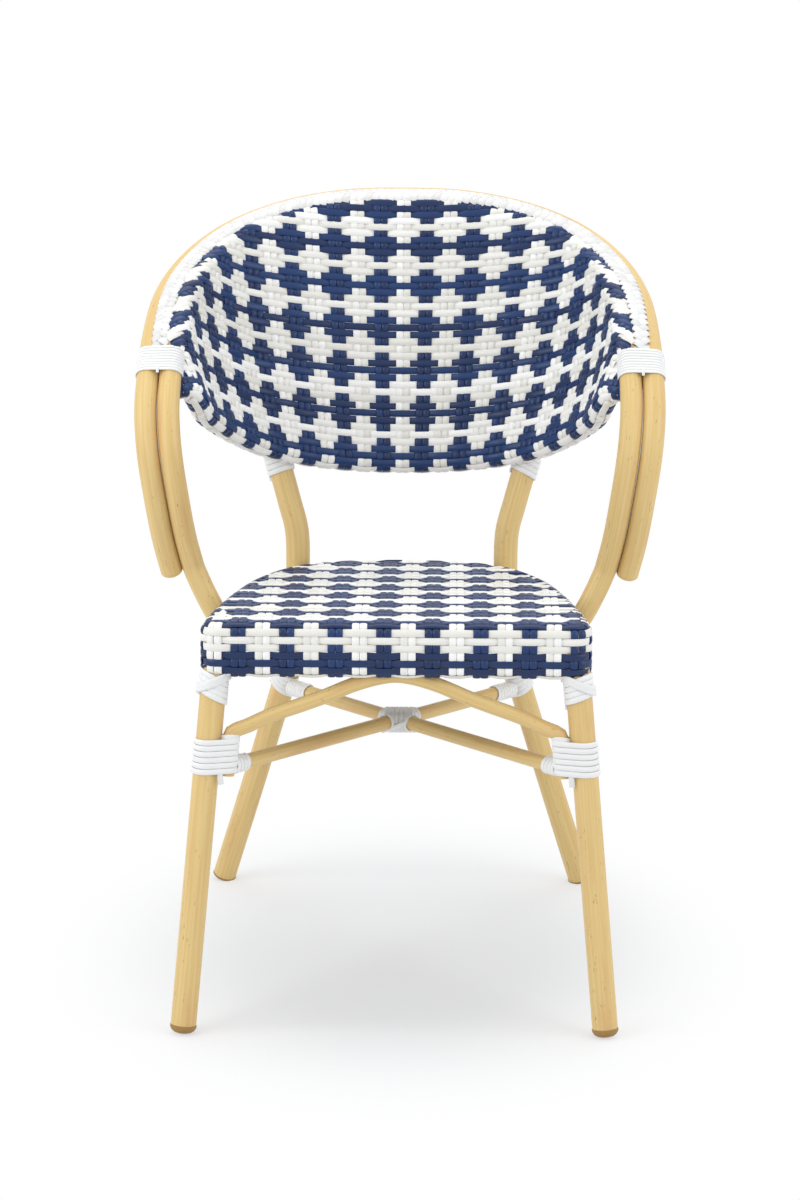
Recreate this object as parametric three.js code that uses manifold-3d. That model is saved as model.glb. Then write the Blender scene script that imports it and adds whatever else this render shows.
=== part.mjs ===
// French bistro armchair: a welded aluminium tube frame with a bamboo-look coat, a woven
// seat and a woven barrel back, and white strip windings over the joints.
// Millimetres. X to the right as seen from the front, Y from front to back, Z up.
// The origin is on the floor, under the middle of the chair.

import * as THREE from 'three';
import { mergeVertices } from 'three/addons/utils/BufferGeometryUtils.js';
import Module from 'manifold-3d';

const wasm = await Module();
wasm.setup();

// Seat
const seat_height = 450;
const seat_width = 418;
const seat_depth = 413;
const seat_side_height = 58;
const seat_fall = 25;
const seat_flange = 8;
const weave_thickness = 4;
const weave_relief = 1.2;
const pair_pitch = 25.95;
const seat_pairs = 16;

// Tubes
const leg_tube = 28;
const leg_wall = 1.5;
const arm_tube = 25;
const rail_tube = 16;
const post_tube = 12;

// Hoops and back
const hoop_width = 565;
const hoop_back = 500;
const hoop_height = 842;
const rail_width = 464;
const rail_back = 425;
const rail_height = 540;
const rail_rise = 133;
const back_bulge = 8;
const braid_width = 19;
const braid_crown = 16;
const braid_edge = 14.2;

// Legs
const front_foot_spread = 460;
const front_foot_forward = 38;
const front_leg_top_spread = 388;
const front_leg_top_back = 18;
const leg_top_drop = 4;
const rear_foot_spread = 438;
const rear_foot_back = 488;
const rear_joint_inset = 18;
const upright_rail_spread = 276;
const cope_depth = 6;

// Foot caps
const cap_height = 11;
const cap_bevel = 3;
const cap_plug_length = 24;
const cap_rim = 3;
const cap_lap = 1;

// Arms
const arm_joint_back = 205;
const arm_end_drop = 14;
const arm_end_inset = 4;
const arm_dome = 6;

// Arch and stretchers
const arch_straight = 42;
const arch_top_back = 8;
const front_stretcher_drop = 14;
const rear_stretcher_drop = 5;

// Windings
const leg_strip_width = 6;
const arm_strip_width = 4.6;
const strip_thickness = 2.4;
const leg_strip_gap = 0.7;
const arm_strip_gap = 1;
const leg_wrap_height = 305;
const arm_wrap_height = 698;
const wrap_thickness = 2.6;
const bend_room = 0.5;
const rear_wrap_height = 271;
const rear_wrap_length = 33;
const leg_top_wrap_length = 25;
const rim_wrap_height = 541;
const rim_wrap_length = 24;
const upright_wrap_height = 760;
const upright_wrap_length = 30;
const arm_seat_wrap_start = 1;
const arm_seat_wrap_length = 20;
const front_sleeve_start = 18;
const front_sleeve_length = 15;
const rear_sleeve_start = 26;
const rear_sleeve_length = 20;
const cross_wrap_reach = 24;

// Fits
const clearance = 0.3;
const overrun = 20;
const weld_distance = 0.0001;

// Facets and counts
const leg_sides = 10;
const arm_sides = 10;
const rail_sides = 8;
const sleeve_sides = 10;
const steps_per_row = 2;
const shell_rows = 7;
const sheet_rows = 3;
const rear_steps = 22;
const arch_steps = 26;
const arm_tail_steps = 5;
const loop_half_steps = 7;
const leg_wrap_loops = 6;
const arm_wrap_loops = 6;
const halvings = 40;

const bamboo = new THREE.MeshStandardMaterial({ color: 0xd9bc7e, roughness: 0.45, metalness: 0.1 });
const white_strip = new THREE.MeshStandardMaterial({ color: 0xf1f0ec, roughness: 0.5, metalness: 0 });
const navy_weave = new THREE.MeshStandardMaterial({ color: 0x2c4070, roughness: 0.5, metalness: 0 });
const brown_cap = new THREE.MeshStandardMaterial({ color: 0xa98347, roughness: 0.6, metalness: 0 });

const chair = new THREE.Group();

function add(name, geometry, material) {
  const mesh = new THREE.Mesh(geometry, material);
  mesh.name = name;
  chair.add(mesh);
  return mesh;
}

// Solids: welding, cutting and joining
function welded(geometry) {
  const bare = geometry.clone();
  bare.deleteAttribute('normal');
  bare.deleteAttribute('uv');
  return mergeVertices(bare, weld_distance);
}

function toSolid(geometry) {
  const closed = welded(geometry);
  return new wasm.Manifold(new wasm.Mesh({
    numProp: 3,
    vertProperties: new Float32Array(closed.attributes.position.array),
    triVerts: new Uint32Array(closed.index.array),
  }));
}

function toGeometry(body) {
  const mesh = body.getMesh();
  const geometry = new THREE.BufferGeometry();
  geometry.setAttribute('position', new THREE.BufferAttribute(new Float32Array(mesh.vertProperties), 3));
  geometry.setIndex(new THREE.BufferAttribute(new Uint32Array(mesh.triVerts), 1));
  return geometry;
}

function cut(geometry, ...cutters) {
  let body = toSolid(geometry);
  for (const cutter of cutters) {
    body = body.subtract(toSolid(cutter));
  }
  return toGeometry(body);
}

function join(geometry, ...others) {
  let body = toSolid(geometry);
  for (const other of others) {
    body = body.add(toSolid(other));
  }
  return toGeometry(body);
}

// Routes
const point = (x, y, z) => new THREE.Vector3(x, y, z);
const mirrored = (places) => places.map((place) => point(-place.x, place.y, place.z));
const spline = (places) => new THREE.CatmullRomCurve3(places, false, 'centripetal');
const fullSpan = (half) => spline([...mirrored(half.slice(1)).reverse(), ...half]);
const straight = (from, to) => new THREE.LineCurve3(from, to);

const sides = [['left', -1], ['right', 1]];
const onSide = (place, side) => point(side * place.x, place.y, place.z);

// A route given by its stations, so that pieces side by side bend at the same places.
class StationRoute extends THREE.Curve {
  constructor(stations) {
    super();
    this.stations = stations;
    this.steps = stations.length - 1;
  }

  getPoint(share, target = new THREE.Vector3()) {
    const place = Math.min(Math.max(share, 0), 1) * this.steps;
    const low = Math.min(Math.floor(place + 1e-9), this.steps - 1);
    return target.lerpVectors(this.stations[low], this.stations[low + 1], place - low);
  }

  getPointAt(share, target) {
    return this.getPoint(share, target);
  }

  getTangentAt(share, target = new THREE.Vector3()) {
    const before = this.getPoint(share - 1 / this.steps);
    const after = this.getPoint(share + 1 / this.steps);
    return target.subVectors(after, before).normalize();
  }
}

// The share between two others at which a measure that only rises or only falls has a value.
function shareWhere(measure, value, low = 0, high = 1) {
  const rising = measure(high) > measure(low);
  let from = low;
  let to = high;
  for (let turn = 0; turn < halvings; turn += 1) {
    const middle = (from + to) / 2;
    if ((measure(middle) < value) === rising) {
      from = middle;
    } else {
      to = middle;
    }
  }
  return from;
}

const atHeight = (route, height, low, high) => shareWhere(
  (share) => route.getPointAt(share).z, height, low, high,
);

function between(from, to, [across, back, up]) {
  return point(
    from.x + across * (to.x - from.x),
    from.y + back * (to.y - from.y),
    from.z + up * (to.z - from.z),
  );
}

// Tubes and skins
function tube(route, diameter, count, steps, bore = 0) {
  const section = new THREE.Shape();
  section.absarc(0, 0, diameter / 2, 0, 2 * Math.PI);
  if (bore > 0) {
    const hole = new THREE.Path();
    hole.absarc(0, 0, bore / 2, 0, 2 * Math.PI);
    section.holes.push(hole);
  }
  return new THREE.ExtrudeGeometry(section, {
    extrudePath: route, steps, curveSegments: count / 2, bevelEnabled: false,
  });
}

function rod(from, to, diameter, count, bore = 0) {
  return tube(straight(from, to), diameter, count, 1, bore);
}

// The diameter of a faceted bore or cutter that leaves the clearance all round a tube.
const roomy = (diameter, count) => (diameter + 2 * clearance) / Math.cos(Math.PI / count);

// A closed skin over rings of equal count, closed round, or with a fan or a strip at each end.
function loft(rings, ends) {
  const count = rings[0].length;
  const places = rings.flat().flatMap((place) => [place.x, place.y, place.z]);
  const faces = [];
  const total = ends === 'round' ? rings.length : rings.length - 1;
  for (let row = 0; row < total; row += 1) {
    const next = (row + 1) % rings.length;
    for (let spot = 0; spot < count; spot += 1) {
      const beside = (spot + 1) % count;
      faces.push([row * count + spot, row * count + beside, next * count + beside]);
      faces.push([row * count + spot, next * count + beside, next * count + spot]);
    }
  }
  if (ends !== 'round') {
    closeEnd(faces, places, rings[0], 0, ends, true);
    closeEnd(faces, places, rings.at(-1), (rings.length - 1) * count, ends, false);
  }
  const geometry = new THREE.BufferGeometry();
  geometry.setAttribute('position', new THREE.BufferAttribute(new Float32Array(places), 3));
  const inside = volume(places, faces) < 0;
  geometry.setIndex(faces.flatMap(([a, b, c]) => (inside ? [a, c, b] : [a, b, c])));
  return geometry;
}

function closeEnd(faces, places, ring, first, ends, turned) {
  const count = ring.length;
  const push = (a, b, c) => faces.push(turned ? [a, c, b] : [a, b, c]);
  if (ends === 'fan') {
    const middle = ring.reduce((sum, place) => sum.add(place), point(0, 0, 0)).divideScalar(count);
    const hub = places.length / 3;
    places.push(middle.x, middle.y, middle.z);
    for (let spot = 0; spot < count; spot += 1) {
      push(first + spot, first + (spot + 1) % count, hub);
    }
    return;
  }
  for (let spot = 0; spot < count / 2 - 1; spot += 1) {
    const across = count - 1 - spot;
    push(first + spot, first + spot + 1, first + across - 1);
    push(first + spot, first + across - 1, first + across);
  }
}

function volume(places, faces) {
  const at = (spot) => point(places[3 * spot], places[3 * spot + 1], places[3 * spot + 2]);
  return faces.reduce((sum, [a, b, c]) => sum + at(a).dot(at(b).cross(at(c))), 0);
}

// Hoops. Each row: across, back, up as shares of the hoop's half width, back and height,
// then the way to the inner hoop: its turn from back to side and its lift, in degrees.
const hoop_shares = [
  [0.000, 1.000, 1.000],
  [0.240, 0.998, 0.9975],
  [0.482, 0.986, 0.984],
  [0.668, 0.956, 0.964],
  [0.784, 0.910, 0.945],
  [0.891, 0.812, 0.9193],
  [0.962, 0.670, 0.887],
  [0.989, 0.532, 0.8430],
  [0.998, 0.450, 0.7985],
  [0.999, 0.394, 0.7620],
  [0.987, 0.361, 0.7130],
  [0.963, 0.371, 0.6500],
  [0.936, 0.402, 0.5870],
  [0.908, 0.424, 0.5430],
];
const hoop_turns = [0, 8, 20, 33, 45, 63, 79, 87, 90, 90, 90, 90, 90, 90];
const hoop_lifts = [0, 0, 2, 4, 6, 10, 13, 8, 3, 0, 0, 0, 0, 0];

const hoopPlace = ([across, back, up]) => point(
  across * hoop_width / 2, back * hoop_back, up * hoop_height,
);
const outer_route = fullSpan(hoop_shares.map(hoopPlace));
const hoop_way = fullSpan(hoop_turns.map((turn, row) => point(turn, hoop_lifts[row], 0)));
const hoop_top = steps_per_row * (hoop_shares.length - 1);
const hoop_spacing = arm_tube + clearance;

// At each station: along the tube, across to the inner hoop, and above, square to both.
const hoop_frames = [];
for (let step = 0; step <= 2 * hoop_top; step += 1) {
  const share = step / (2 * hoop_top);
  const place = outer_route.getPoint(share);
  const along = outer_route.getTangent(share);
  const way = hoop_way.getPoint(share);
  const turn = THREE.MathUtils.degToRad(way.x);
  const lift = THREE.MathUtils.degToRad(way.y);
  const inward = point(-Math.sin(turn), -Math.cos(turn), 0);
  inward.addScaledVector(along, -inward.dot(along)).normalize();
  const upward = new THREE.Vector3().crossVectors(inward, along).normalize();
  const across = inward.clone().multiplyScalar(Math.cos(lift)).addScaledVector(upward, Math.sin(lift));
  const above = upward.clone().multiplyScalar(Math.cos(lift)).addScaledVector(inward, -Math.sin(lift));
  hoop_frames.push({ place, across, above, along });
}

// A frame part of the way from one station to the next.
function hoopFrame(station) {
  const low = Math.min(Math.floor(station), 2 * hoop_top - 1);
  const [from, to] = [hoop_frames[low], hoop_frames[low + 1]];
  const mix = (key) => from[key].clone().lerp(to[key], station - low);
  const way = (key) => mix(key).normalize();
  return { place: mix('place'), across: way('across'), above: way('above'), along: way('along') };
}

const onHoop = (frame, reach, rise) => frame.place.clone()
  .addScaledVector(frame.across, reach).addScaledVector(frame.above, rise);
const outer_line = new StationRoute(hoop_frames.map((frame) => frame.place));
const inner_stations = hoop_frames.map((frame) => onHoop(frame, hoop_spacing, 0));
const outer_cutter = tube(outer_line, roomy(arm_tube, arm_sides), arm_sides, outer_line.steps);

// Seat outline: the middle line of its two rails, as shares of its half width and depth.
const seat_outline_shares = [
  [0, 0], [0.4, 0], [0.8, 0], [0.945, 0.003], [0.99, 0.028], [0.995, 0.08], [0.958, 0.264],
  [0.892, 0.484], [0.802, 0.684], [0.649, 0.86], [0.5, 0.94], [0.317, 0.98], [0, 1],
];
const seat_edge = rail_tube / 2 + clearance + weave_thickness;
const upper_rail_height = seat_height - seat_edge;
const lower_rail_height = seat_height - seat_side_height + seat_edge;
const seat_stations = steps_per_row * (2 * seat_outline_shares.length - 2);

const seat_half = seat_outline_shares.map(([across, back]) => point(
  across * (seat_width / 2 - seat_edge), seat_edge + back * (seat_depth - 2 * seat_edge), 0,
));
const seat_route = new THREE.CatmullRomCurve3(
  [...seat_half, ...mirrored(seat_half.slice(1, -1)).reverse()], true, 'centripetal',
);
const seat_side_shares = { front: 0.1, rear: 0.5 };
const seatFall = (back) => seat_fall * back / seat_depth;

function seatStation(share) {
  const place = seat_route.getPoint(share);
  const along = seat_route.getTangent(share);
  return { place, outward: point(along.y, -along.x, 0) };
}

// The seat's rail at a given depth on the right-hand side.
function seatRailAt(back, height) {
  const depth = (share) => seat_route.getPoint(share).y;
  const { front, rear } = seat_side_shares;
  const { place, outward } = seatStation(shareWhere(depth, back, front, rear));
  return { place: point(place.x, place.y, height - seatFall(place.y)), outward };
}

// Rings round the seat, one for each reach and height of a section.
function seatRings(section) {
  return section.map(([reach, height]) => {
    const ring = [];
    for (let station = 0; station < seat_stations; station += 1) {
      const { place, outward } = seatStation(station / seat_stations);
      const level = point(place.x, place.y, height - seatFall(place.y));
      ring.push(level.addScaledVector(outward, reach));
    }
    return ring;
  });
}

// A round tube along the seat's outline.
function roundLoop(height, diameter) {
  const section = [];
  for (let side = 0; side < rail_sides; side += 1) {
    const angle = 2 * Math.PI * side / rail_sides;
    section.push([diameter / 2 * Math.cos(angle), height + diameter / 2 * Math.sin(angle)]);
  }
  return loft(seatRings(section), 'round');
}

const lower_rail_cutter = roundLoop(lower_rail_height, roomy(rail_tube, rail_sides));
const upper_rail_cutter = roundLoop(upper_rail_height, roomy(rail_tube, rail_sides));
add('seat_upper_rail', roundLoop(upper_rail_height, rail_tube), bamboo);
add('seat_lower_rail', roundLoop(lower_rail_height, rail_tube), bamboo);

// Posts between the two seat rails, and bars under the panel from side to side.
const post_depth_shares = { front: 0.09, rear: 0.86 };
const bar_depth_shares = { front: 0.32, rear: 0.68 };
const seatDepthAt = (share) => seat_edge + share * (seat_depth - 2 * seat_edge);
for (const [name, side] of sides) {
  for (const [end, share] of Object.entries(post_depth_shares)) {
    const low = onSide(seatRailAt(seatDepthAt(share), lower_rail_height).place, side);
    const high = onSide(seatRailAt(seatDepthAt(share), upper_rail_height).place, side);
    const post = rod(low, high, post_tube, rail_sides);
    add(`seat_post_${end}_${name}`, cut(post, lower_rail_cutter, upper_rail_cutter), bamboo);
  }
}
for (const [end, share] of Object.entries(bar_depth_shares)) {
  const rail = seatRailAt(seatDepthAt(share), lower_rail_height).place;
  const bar = rod(onSide(rail, -1), rail, rail_tube, rail_sides);
  add(`seat_bar_${end}`, cut(bar, lower_rail_cutter), bamboo);
}

// Lower rail of the back, from the arms down round the sitter's back. Its stations lie at
// the same shares of its length as those of the inner hoop that the weave joins it to.
const back_rail_shares = [
  [0, 1, 0], [0.176, 0.992, 0.01], [0.352, 0.976, 0.042], [0.49, 0.95, 0.09], [0.6, 0.92, 0.145],
  [0.682, 0.888, 0.2], [0.82, 0.81, 0.36], [0.914, 0.725, 0.52], [0.965, 0.645, 0.66],
  [0.992, 0.585, 0.82], [1.004, 0.555, 0.98],
];
const back_rail_route = fullSpan(back_rail_shares.map(([across, back, up]) => point(
  across * rail_width / 2, back * rail_back, rail_height + up * rail_rise,
)));
const rail_cover_share = 0.955;
const shell_half = steps_per_row * shell_rows;
const shell_frames = hoop_frames.slice(hoop_top - shell_half, hoop_top + shell_half + 1);
const shell_hoop = inner_stations.slice(hoop_top - shell_half, hoop_top + shell_half + 1);
const hoop_lengths = [0];
for (let column = 1; column < shell_hoop.length; column += 1) {
  hoop_lengths.push(hoop_lengths[column - 1] + shell_hoop[column].distanceTo(shell_hoop[column - 1]));
}
const railShare = (length) => (1 + rail_cover_share * (2 * length / hoop_lengths.at(-1) - 1)) / 2;
const shell_rail = hoop_lengths.map((length) => back_rail_route.getPointAt(railShare(length)));
const rail_line = new StationRoute([
  back_rail_route.getPointAt(0), ...shell_rail, back_rail_route.getPointAt(1),
]);

// Front legs: straight, splayed to the side and forward, coped under the lower seat rail.
const bore = leg_tube - 2 * leg_wall;
const plug = bore * Math.cos(Math.PI / leg_sides) - 2 * clearance;
const front_foot = point(front_foot_spread / 2, -front_foot_forward, 0);
const front_top = point(front_leg_top_spread / 2, front_leg_top_back, lower_rail_height);
const front_axis = front_top.clone().sub(front_foot).normalize();
const frontLegAt = (height) => front_foot.clone().lerp(front_top, height / lower_rail_height);

function footCap(start, axis) {
  const radius = leg_tube / 2;
  const profile = [
    [0, -cap_plug_length], [plug / 2 - cap_bevel / 2, -cap_plug_length],
    [plug / 2, cap_bevel - cap_plug_length], [plug / 2, 0], [radius, 0], [radius, cap_rim],
    [radius - cap_bevel, cap_height], [0, cap_height],
  ];
  const cap = new THREE.LatheGeometry(profile.map(([x, y]) => new THREE.Vector2(x, y)), leg_sides);
  cap.applyQuaternion(new THREE.Quaternion().setFromUnitVectors(point(0, 1, 0), axis.clone().negate()));
  cap.translate(start.x, start.y, start.z);
  const floor = new THREE.BoxGeometry(4 * leg_tube, 4 * leg_tube, overrun);
  floor.translate(start.x, start.y, -overrun / 2);
  return cut(cap, floor);
}

for (const [name, side] of sides) {
  const foot = onSide(front_foot, side);
  const top = onSide(frontLegAt(lower_rail_height - leg_top_drop), side);
  const axis = top.clone().sub(foot).normalize();
  const start = foot.clone().addScaledVector(axis, (cap_height - cap_lap) / axis.z);
  const leg = rod(start, top, leg_tube, leg_sides, bore);
  add(`front_leg_${name}`, cut(leg, lower_rail_cutter), bamboo);
  add(`foot_cap_front_${name}`, footCap(start.clone().addScaledVector(axis, -clearance), axis), brown_cap);
}
const front_cutters = sides.map(([, side]) => rod(
  onSide(front_foot, side), onSide(front_top, side), roomy(leg_tube, leg_sides), leg_sides,
));

// Rear legs: one tube from the foot, past the seat and up behind the back to the outer hoop.
// Rows: across, back and up between the foot and the seat, then above the seat.
const lower_run_shares = [[0, 0, 0.016], [0.566, 0.406, 0.499], [0.88, 0.74, 0.79]];
const waist_run_shares = [[0.056, 0.2, 0.34], [0.38, 0.43, 0.58]];
const upper_run_shares = [[0.46, 0.38, 0.445], [1, 1, 1]];
const upright_top_share = 0.645;

const rear_rail = seatRailAt(seat_depth - 2 * seat_edge - rear_joint_inset, 0);
const rear_reach = (rail_tube + leg_tube) / 2 + 2 * clearance;
const rear_joint = rear_rail.place.clone().addScaledVector(rear_rail.outward, rear_reach);
const lower_joint = point(rear_joint.x, rear_joint.y, lower_rail_height + rear_rail.place.z);
const upper_joint = point(rear_joint.x, rear_joint.y, upper_rail_height + rear_rail.place.z);
const rear_foot = point(rear_foot_spread / 2, rear_foot_back, 0);
const hoop_joint = outer_route.getPointAt(upright_top_share);
const upright_way = hoop_joint.clone().sub(upper_joint).normalize();
const upright_top = hoop_joint.clone().addScaledVector(upright_way, -cope_depth);
const railAcross = (share) => rail_line.getPointAt(share).x;
const rail_pass_share = shareWhere(railAcross, upright_rail_spread / 2, 0.5, 1);
const rail_pass = rail_line.getPointAt(rail_pass_share);
const rail_way = rail_line.getTangentAt(rail_pass_share);
const rail_out = point(-rail_way.y, rail_way.x, 0).normalize();
const rail_joint = rail_pass.clone().addScaledVector(rail_out, rear_reach + 2 * clearance);
const rear_half = [
  ...lower_run_shares.map((share) => between(rear_foot, lower_joint, share)),
  lower_joint,
  upper_joint,
  ...waist_run_shares.map((share) => between(upper_joint, rail_joint, share)),
  rail_joint,
  ...upper_run_shares.map((share) => between(rail_joint, upright_top, share)),
];
const rearRoute = (side) => spline(rear_half.map((place) => onSide(place, side)));
const rear_cutters = sides.map(([, side]) => tube(
  rearRoute(side), roomy(leg_tube, leg_sides), leg_sides, rear_steps,
));

// Inner hoop: beside the outer one from arm to arm, then on down to the sides of the seat.
const arm_reach = (rail_tube + arm_tube) / 2 + clearance;
const arm_rail = seatRailAt(arm_joint_back, lower_rail_height);
const arm_joint = arm_rail.place.clone().addScaledVector(arm_rail.outward, arm_reach);
const arm_start = inner_stations.at(-1);
const arm_run_shares = [[0.17, -0.05, 0.22], [0.38, 0.1, 0.46], [0.66, 0.5, 0.74]];
const arm_tail = spline([
  arm_start,
  ...arm_run_shares.map((share) => between(arm_start, arm_joint, share)),
  arm_joint,
  arm_joint.clone().add(point(-arm_end_inset, 0, -arm_end_drop)),
]);
const tail_stations = [];
for (let step = 1; step <= arm_tail_steps; step += 1) {
  tail_stations.push(arm_tail.getPointAt(step / arm_tail_steps));
}
const inner_line = new StationRoute([
  ...mirrored(tail_stations).reverse(), ...inner_stations, ...tail_stations,
]);
const inner_cutter = tube(inner_line, roomy(arm_tube, arm_sides), arm_sides, inner_line.steps);

for (const [name, side] of sides) {
  const route = rearRoute(side);
  const foot_way = route.getTangentAt(0);
  const start = route.getPointAt(0);
  const bore_start = start.clone().addScaledVector(foot_way, -overrun);
  const bore_end = start.clone().addScaledVector(foot_way, cap_plug_length + clearance);
  const foot_bore = rod(bore_start, bore_end, bore, leg_sides);
  const leg = tube(route, leg_tube, leg_sides, rear_steps);
  add(`rear_leg_${name}`, cut(leg, foot_bore, outer_cutter, inner_cutter), bamboo);
  const cap_start = start.clone().addScaledVector(foot_way, -clearance);
  add(`foot_cap_rear_${name}`, footCap(cap_start, foot_way), brown_cap);
}

const inner_hoop = tube(inner_line, arm_tube, arm_sides, inner_line.steps);
add('outer_hoop', tube(outer_line, arm_tube, arm_sides, outer_line.steps), bamboo);
add('inner_hoop', cut(inner_hoop, lower_rail_cutter), bamboo);
const back_rail = tube(rail_line, rail_tube, rail_sides, rail_line.steps);
add('back_lower_rail', cut(back_rail, inner_cutter), bamboo);

// Domed plates on the free ends of the outer hoop.
const dome_shares = [[0, 0], [1, 0], [0.9, 0.5], [0.5, 0.9], [0, 1]];
for (const [name, side] of sides) {
  const radius = arm_tube / 2;
  const profile = dome_shares.map(([out, up]) => new THREE.Vector2(out * radius, up * arm_dome));
  const dome = new THREE.LatheGeometry(profile, arm_sides);
  const end = onSide(outer_line.stations.at(-1), side);
  const way = onSide(outer_line.getTangentAt(1), side);
  dome.applyQuaternion(new THREE.Quaternion().setFromUnitVectors(point(0, 1, 0), way));
  const seat = end.addScaledVector(way, clearance);
  dome.translate(seat.x, seat.y, seat.z);
  add(`arm_end_plate_${name}`, dome, bamboo);
}

// Windings: one flat strip wound round two tubes side by side. The path is the outline of
// both tubes, the strip climbs one pitch in a turn, and its ends lie on the flat at the back.
const strip_shares = [[1, 0], [0.7, 1], [-0.7, 1], [-1, 0], [-0.7, -1], [0.7, -1]];

function windingPath(radii, spacing) {
  const [first, second] = radii;
  const lean = Math.acos((first - second) / spacing);
  const stop = loop_half_steps - 1;
  const spots = [];
  for (let step = 0; step <= stop; step += 1) {
    const angle = -lean + 2 * lean * step / stop;
    const round = Math.cos(lean / stop);
    spots.push({ centre: spacing, reach: second / round, angle });
  }
  for (let step = 0; step <= stop; step += 1) {
    const half = Math.PI - lean;
    const angle = lean + 2 * half * step / stop;
    const round = Math.cos(half / stop);
    spots.push({ centre: 0, reach: first / round, angle });
  }
  return spots;
}

// Rings of a solid that fills the outline of two tubes side by side, from end to end.
function windingBlock(frameAt, radii, spacing, half_length) {
  return loft([-half_length, 0, half_length].map((travel) => {
    const frame = frameAt(travel);
    return windingPath(radii, spacing).map(({ centre, reach, angle }) => onHoop(
      frame, centre + reach * Math.cos(angle), reach * Math.sin(angle),
    ));
  }), 'fan');
}

function winding(name, frameAt, radii, spacing, { loops, wide: strip_width, pitch }) {
  const spots = windingPath(radii.map((radius) => radius + clearance + strip_thickness / 2), spacing);
  const loop_count = spots.length;
  const ringAt = (travel, across, rise, angle) => {
    const frame = frameAt(travel);
    const outward = frame.across.clone().multiplyScalar(Math.cos(angle))
      .addScaledVector(frame.above, Math.sin(angle));
    const middle = onHoop(frame, across, rise);
    return strip_shares.map(([wide, thick]) => middle.clone()
      .addScaledVector(frame.along, wide * strip_width / 2)
      .addScaledVector(outward, thick * strip_thickness / 2));
  };
  const place = ({ centre, reach, angle }) => [centre + reach * Math.cos(angle), reach * Math.sin(angle)];
  const from = place(spots.at(-1));
  const to = place(spots[0]);
  const seam = from.map((value, axis) => (value + to[axis]) / 2);
  const total = loops * pitch;
  const rings = [ringAt(-total / 2, ...seam, spots[0].angle)];
  for (let loop = 0; loop < loops; loop += 1) {
    spots.forEach((spot, step) => {
      const travel = -total / 2 + pitch * (loop + (step + 0.5) / loop_count);
      rings.push(ringAt(travel, ...place(spot), spot.angle));
    });
  }
  rings.push(ringAt(total / 2, ...seam, spots[0].angle));
  console.log(`${name}: least gap to itself ${leastGap(rings, loop_count).toFixed(2)} mm`);
  add(name, loft(rings, 'strip'), white_strip);
}

// The least distance between points of rings that lie half a loop or more apart.
function leastGap(rings, loop_count) {
  let least = Infinity;
  for (let low = 0; low < rings.length; low += 1) {
    for (let high = low + loop_count / 2; high < rings.length; high += 1) {
      for (const here of rings[low]) {
        for (const there of rings[high]) {
          least = Math.min(least, here.distanceTo(there));
        }
      }
    }
  }
  return least;
}

// Arch under the front of the seat: up beside each front leg, then over to the middle.
const arch_foot_height = leg_wrap_height - arch_straight / 2;
const arch_bend_height = leg_wrap_height + arch_straight / 2;
const arch_reach = (leg_tube + rail_tube) / 2 + 3 * clearance;
const arch_top_drop = Math.sqrt((rail_tube + 2 * clearance) ** 2 - arch_top_back ** 2);
const arch_top_height = lower_rail_height - seatFall(seat_edge) - arch_top_drop;
const besideLeg = (height) => frontLegAt(height).add(point(-arch_reach / front_axis.z, 0, 0));
const arch_foot = besideLeg(arch_foot_height);
const arch_bend = besideLeg(arch_bend_height);
const arch_top = point(0, seat_edge + arch_top_back, arch_top_height);
const arch_shares = [
  [0.018, 0.03, 0.05], [0.1, 0.1, 0.14], [0.245, 0.25, 0.324], [0.426, 0.43, 0.5], [0.565, 0.57, 0.64],
  [0.716, 0.72, 0.817], [0.813, 0.82, 0.908], [0.91, 0.91, 0.975],
];
const arch_rise = arch_shares.map((share) => between(arch_bend, arch_top, share)).reverse();
const arch_route = fullSpan([arch_top, ...arch_rise, arch_bend, arch_foot]);
add('front_arch', tube(arch_route, rail_tube, rail_sides, arch_steps), bamboo);
const arch_cutter = tube(arch_route, roomy(rail_tube, rail_sides), rail_sides, arch_steps);

// Windings round each front leg and the arch's foot beside it.
const wrap_leg = frontLegAt(leg_wrap_height);
const leg_across = point(-1, 0, 0).addScaledVector(front_axis, front_axis.x).normalize();
const leg_frame = {
  place: wrap_leg, across: leg_across, along: front_axis,
  above: new THREE.Vector3().crossVectors(front_axis, leg_across).normalize(),
};
const arch_spacing = besideLeg(leg_wrap_height).sub(wrap_leg).dot(leg_across);
const leg_wrap_radii = [leg_tube / 2, rail_tube / 2];
const leg_pitch = leg_strip_width + leg_strip_gap;
const leg_wrap_half = (leg_wrap_loops * leg_pitch + leg_strip_width) / 2;
const blockRadii = (radii) => radii.map((radius) => radius + strip_thickness + 3 * clearance);

function sideFrame(frame, side) {
  return {
    place: onSide(frame.place, side), across: onSide(frame.across, side),
    along: onSide(frame.along, side), above: onSide(frame.above, side),
  };
}

function slid(frame, travel) {
  return { ...frame, place: frame.place.clone().addScaledVector(frame.along, travel) };
}

const leg_strip = { loops: leg_wrap_loops, wide: leg_strip_width, pitch: leg_pitch };
const leg_block_radii = blockRadii(leg_wrap_radii);
const leg_blocks = {};
for (const [name, side] of sides) {
  const frameAt = (travel) => slid(sideFrame(leg_frame, side), travel);
  winding(`front_leg_wrap_${name}`, frameAt, leg_wrap_radii, arch_spacing, leg_strip);
  leg_blocks[name] = windingBlock(frameAt, leg_block_radii, arch_spacing, leg_wrap_half + clearance);
}

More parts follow.
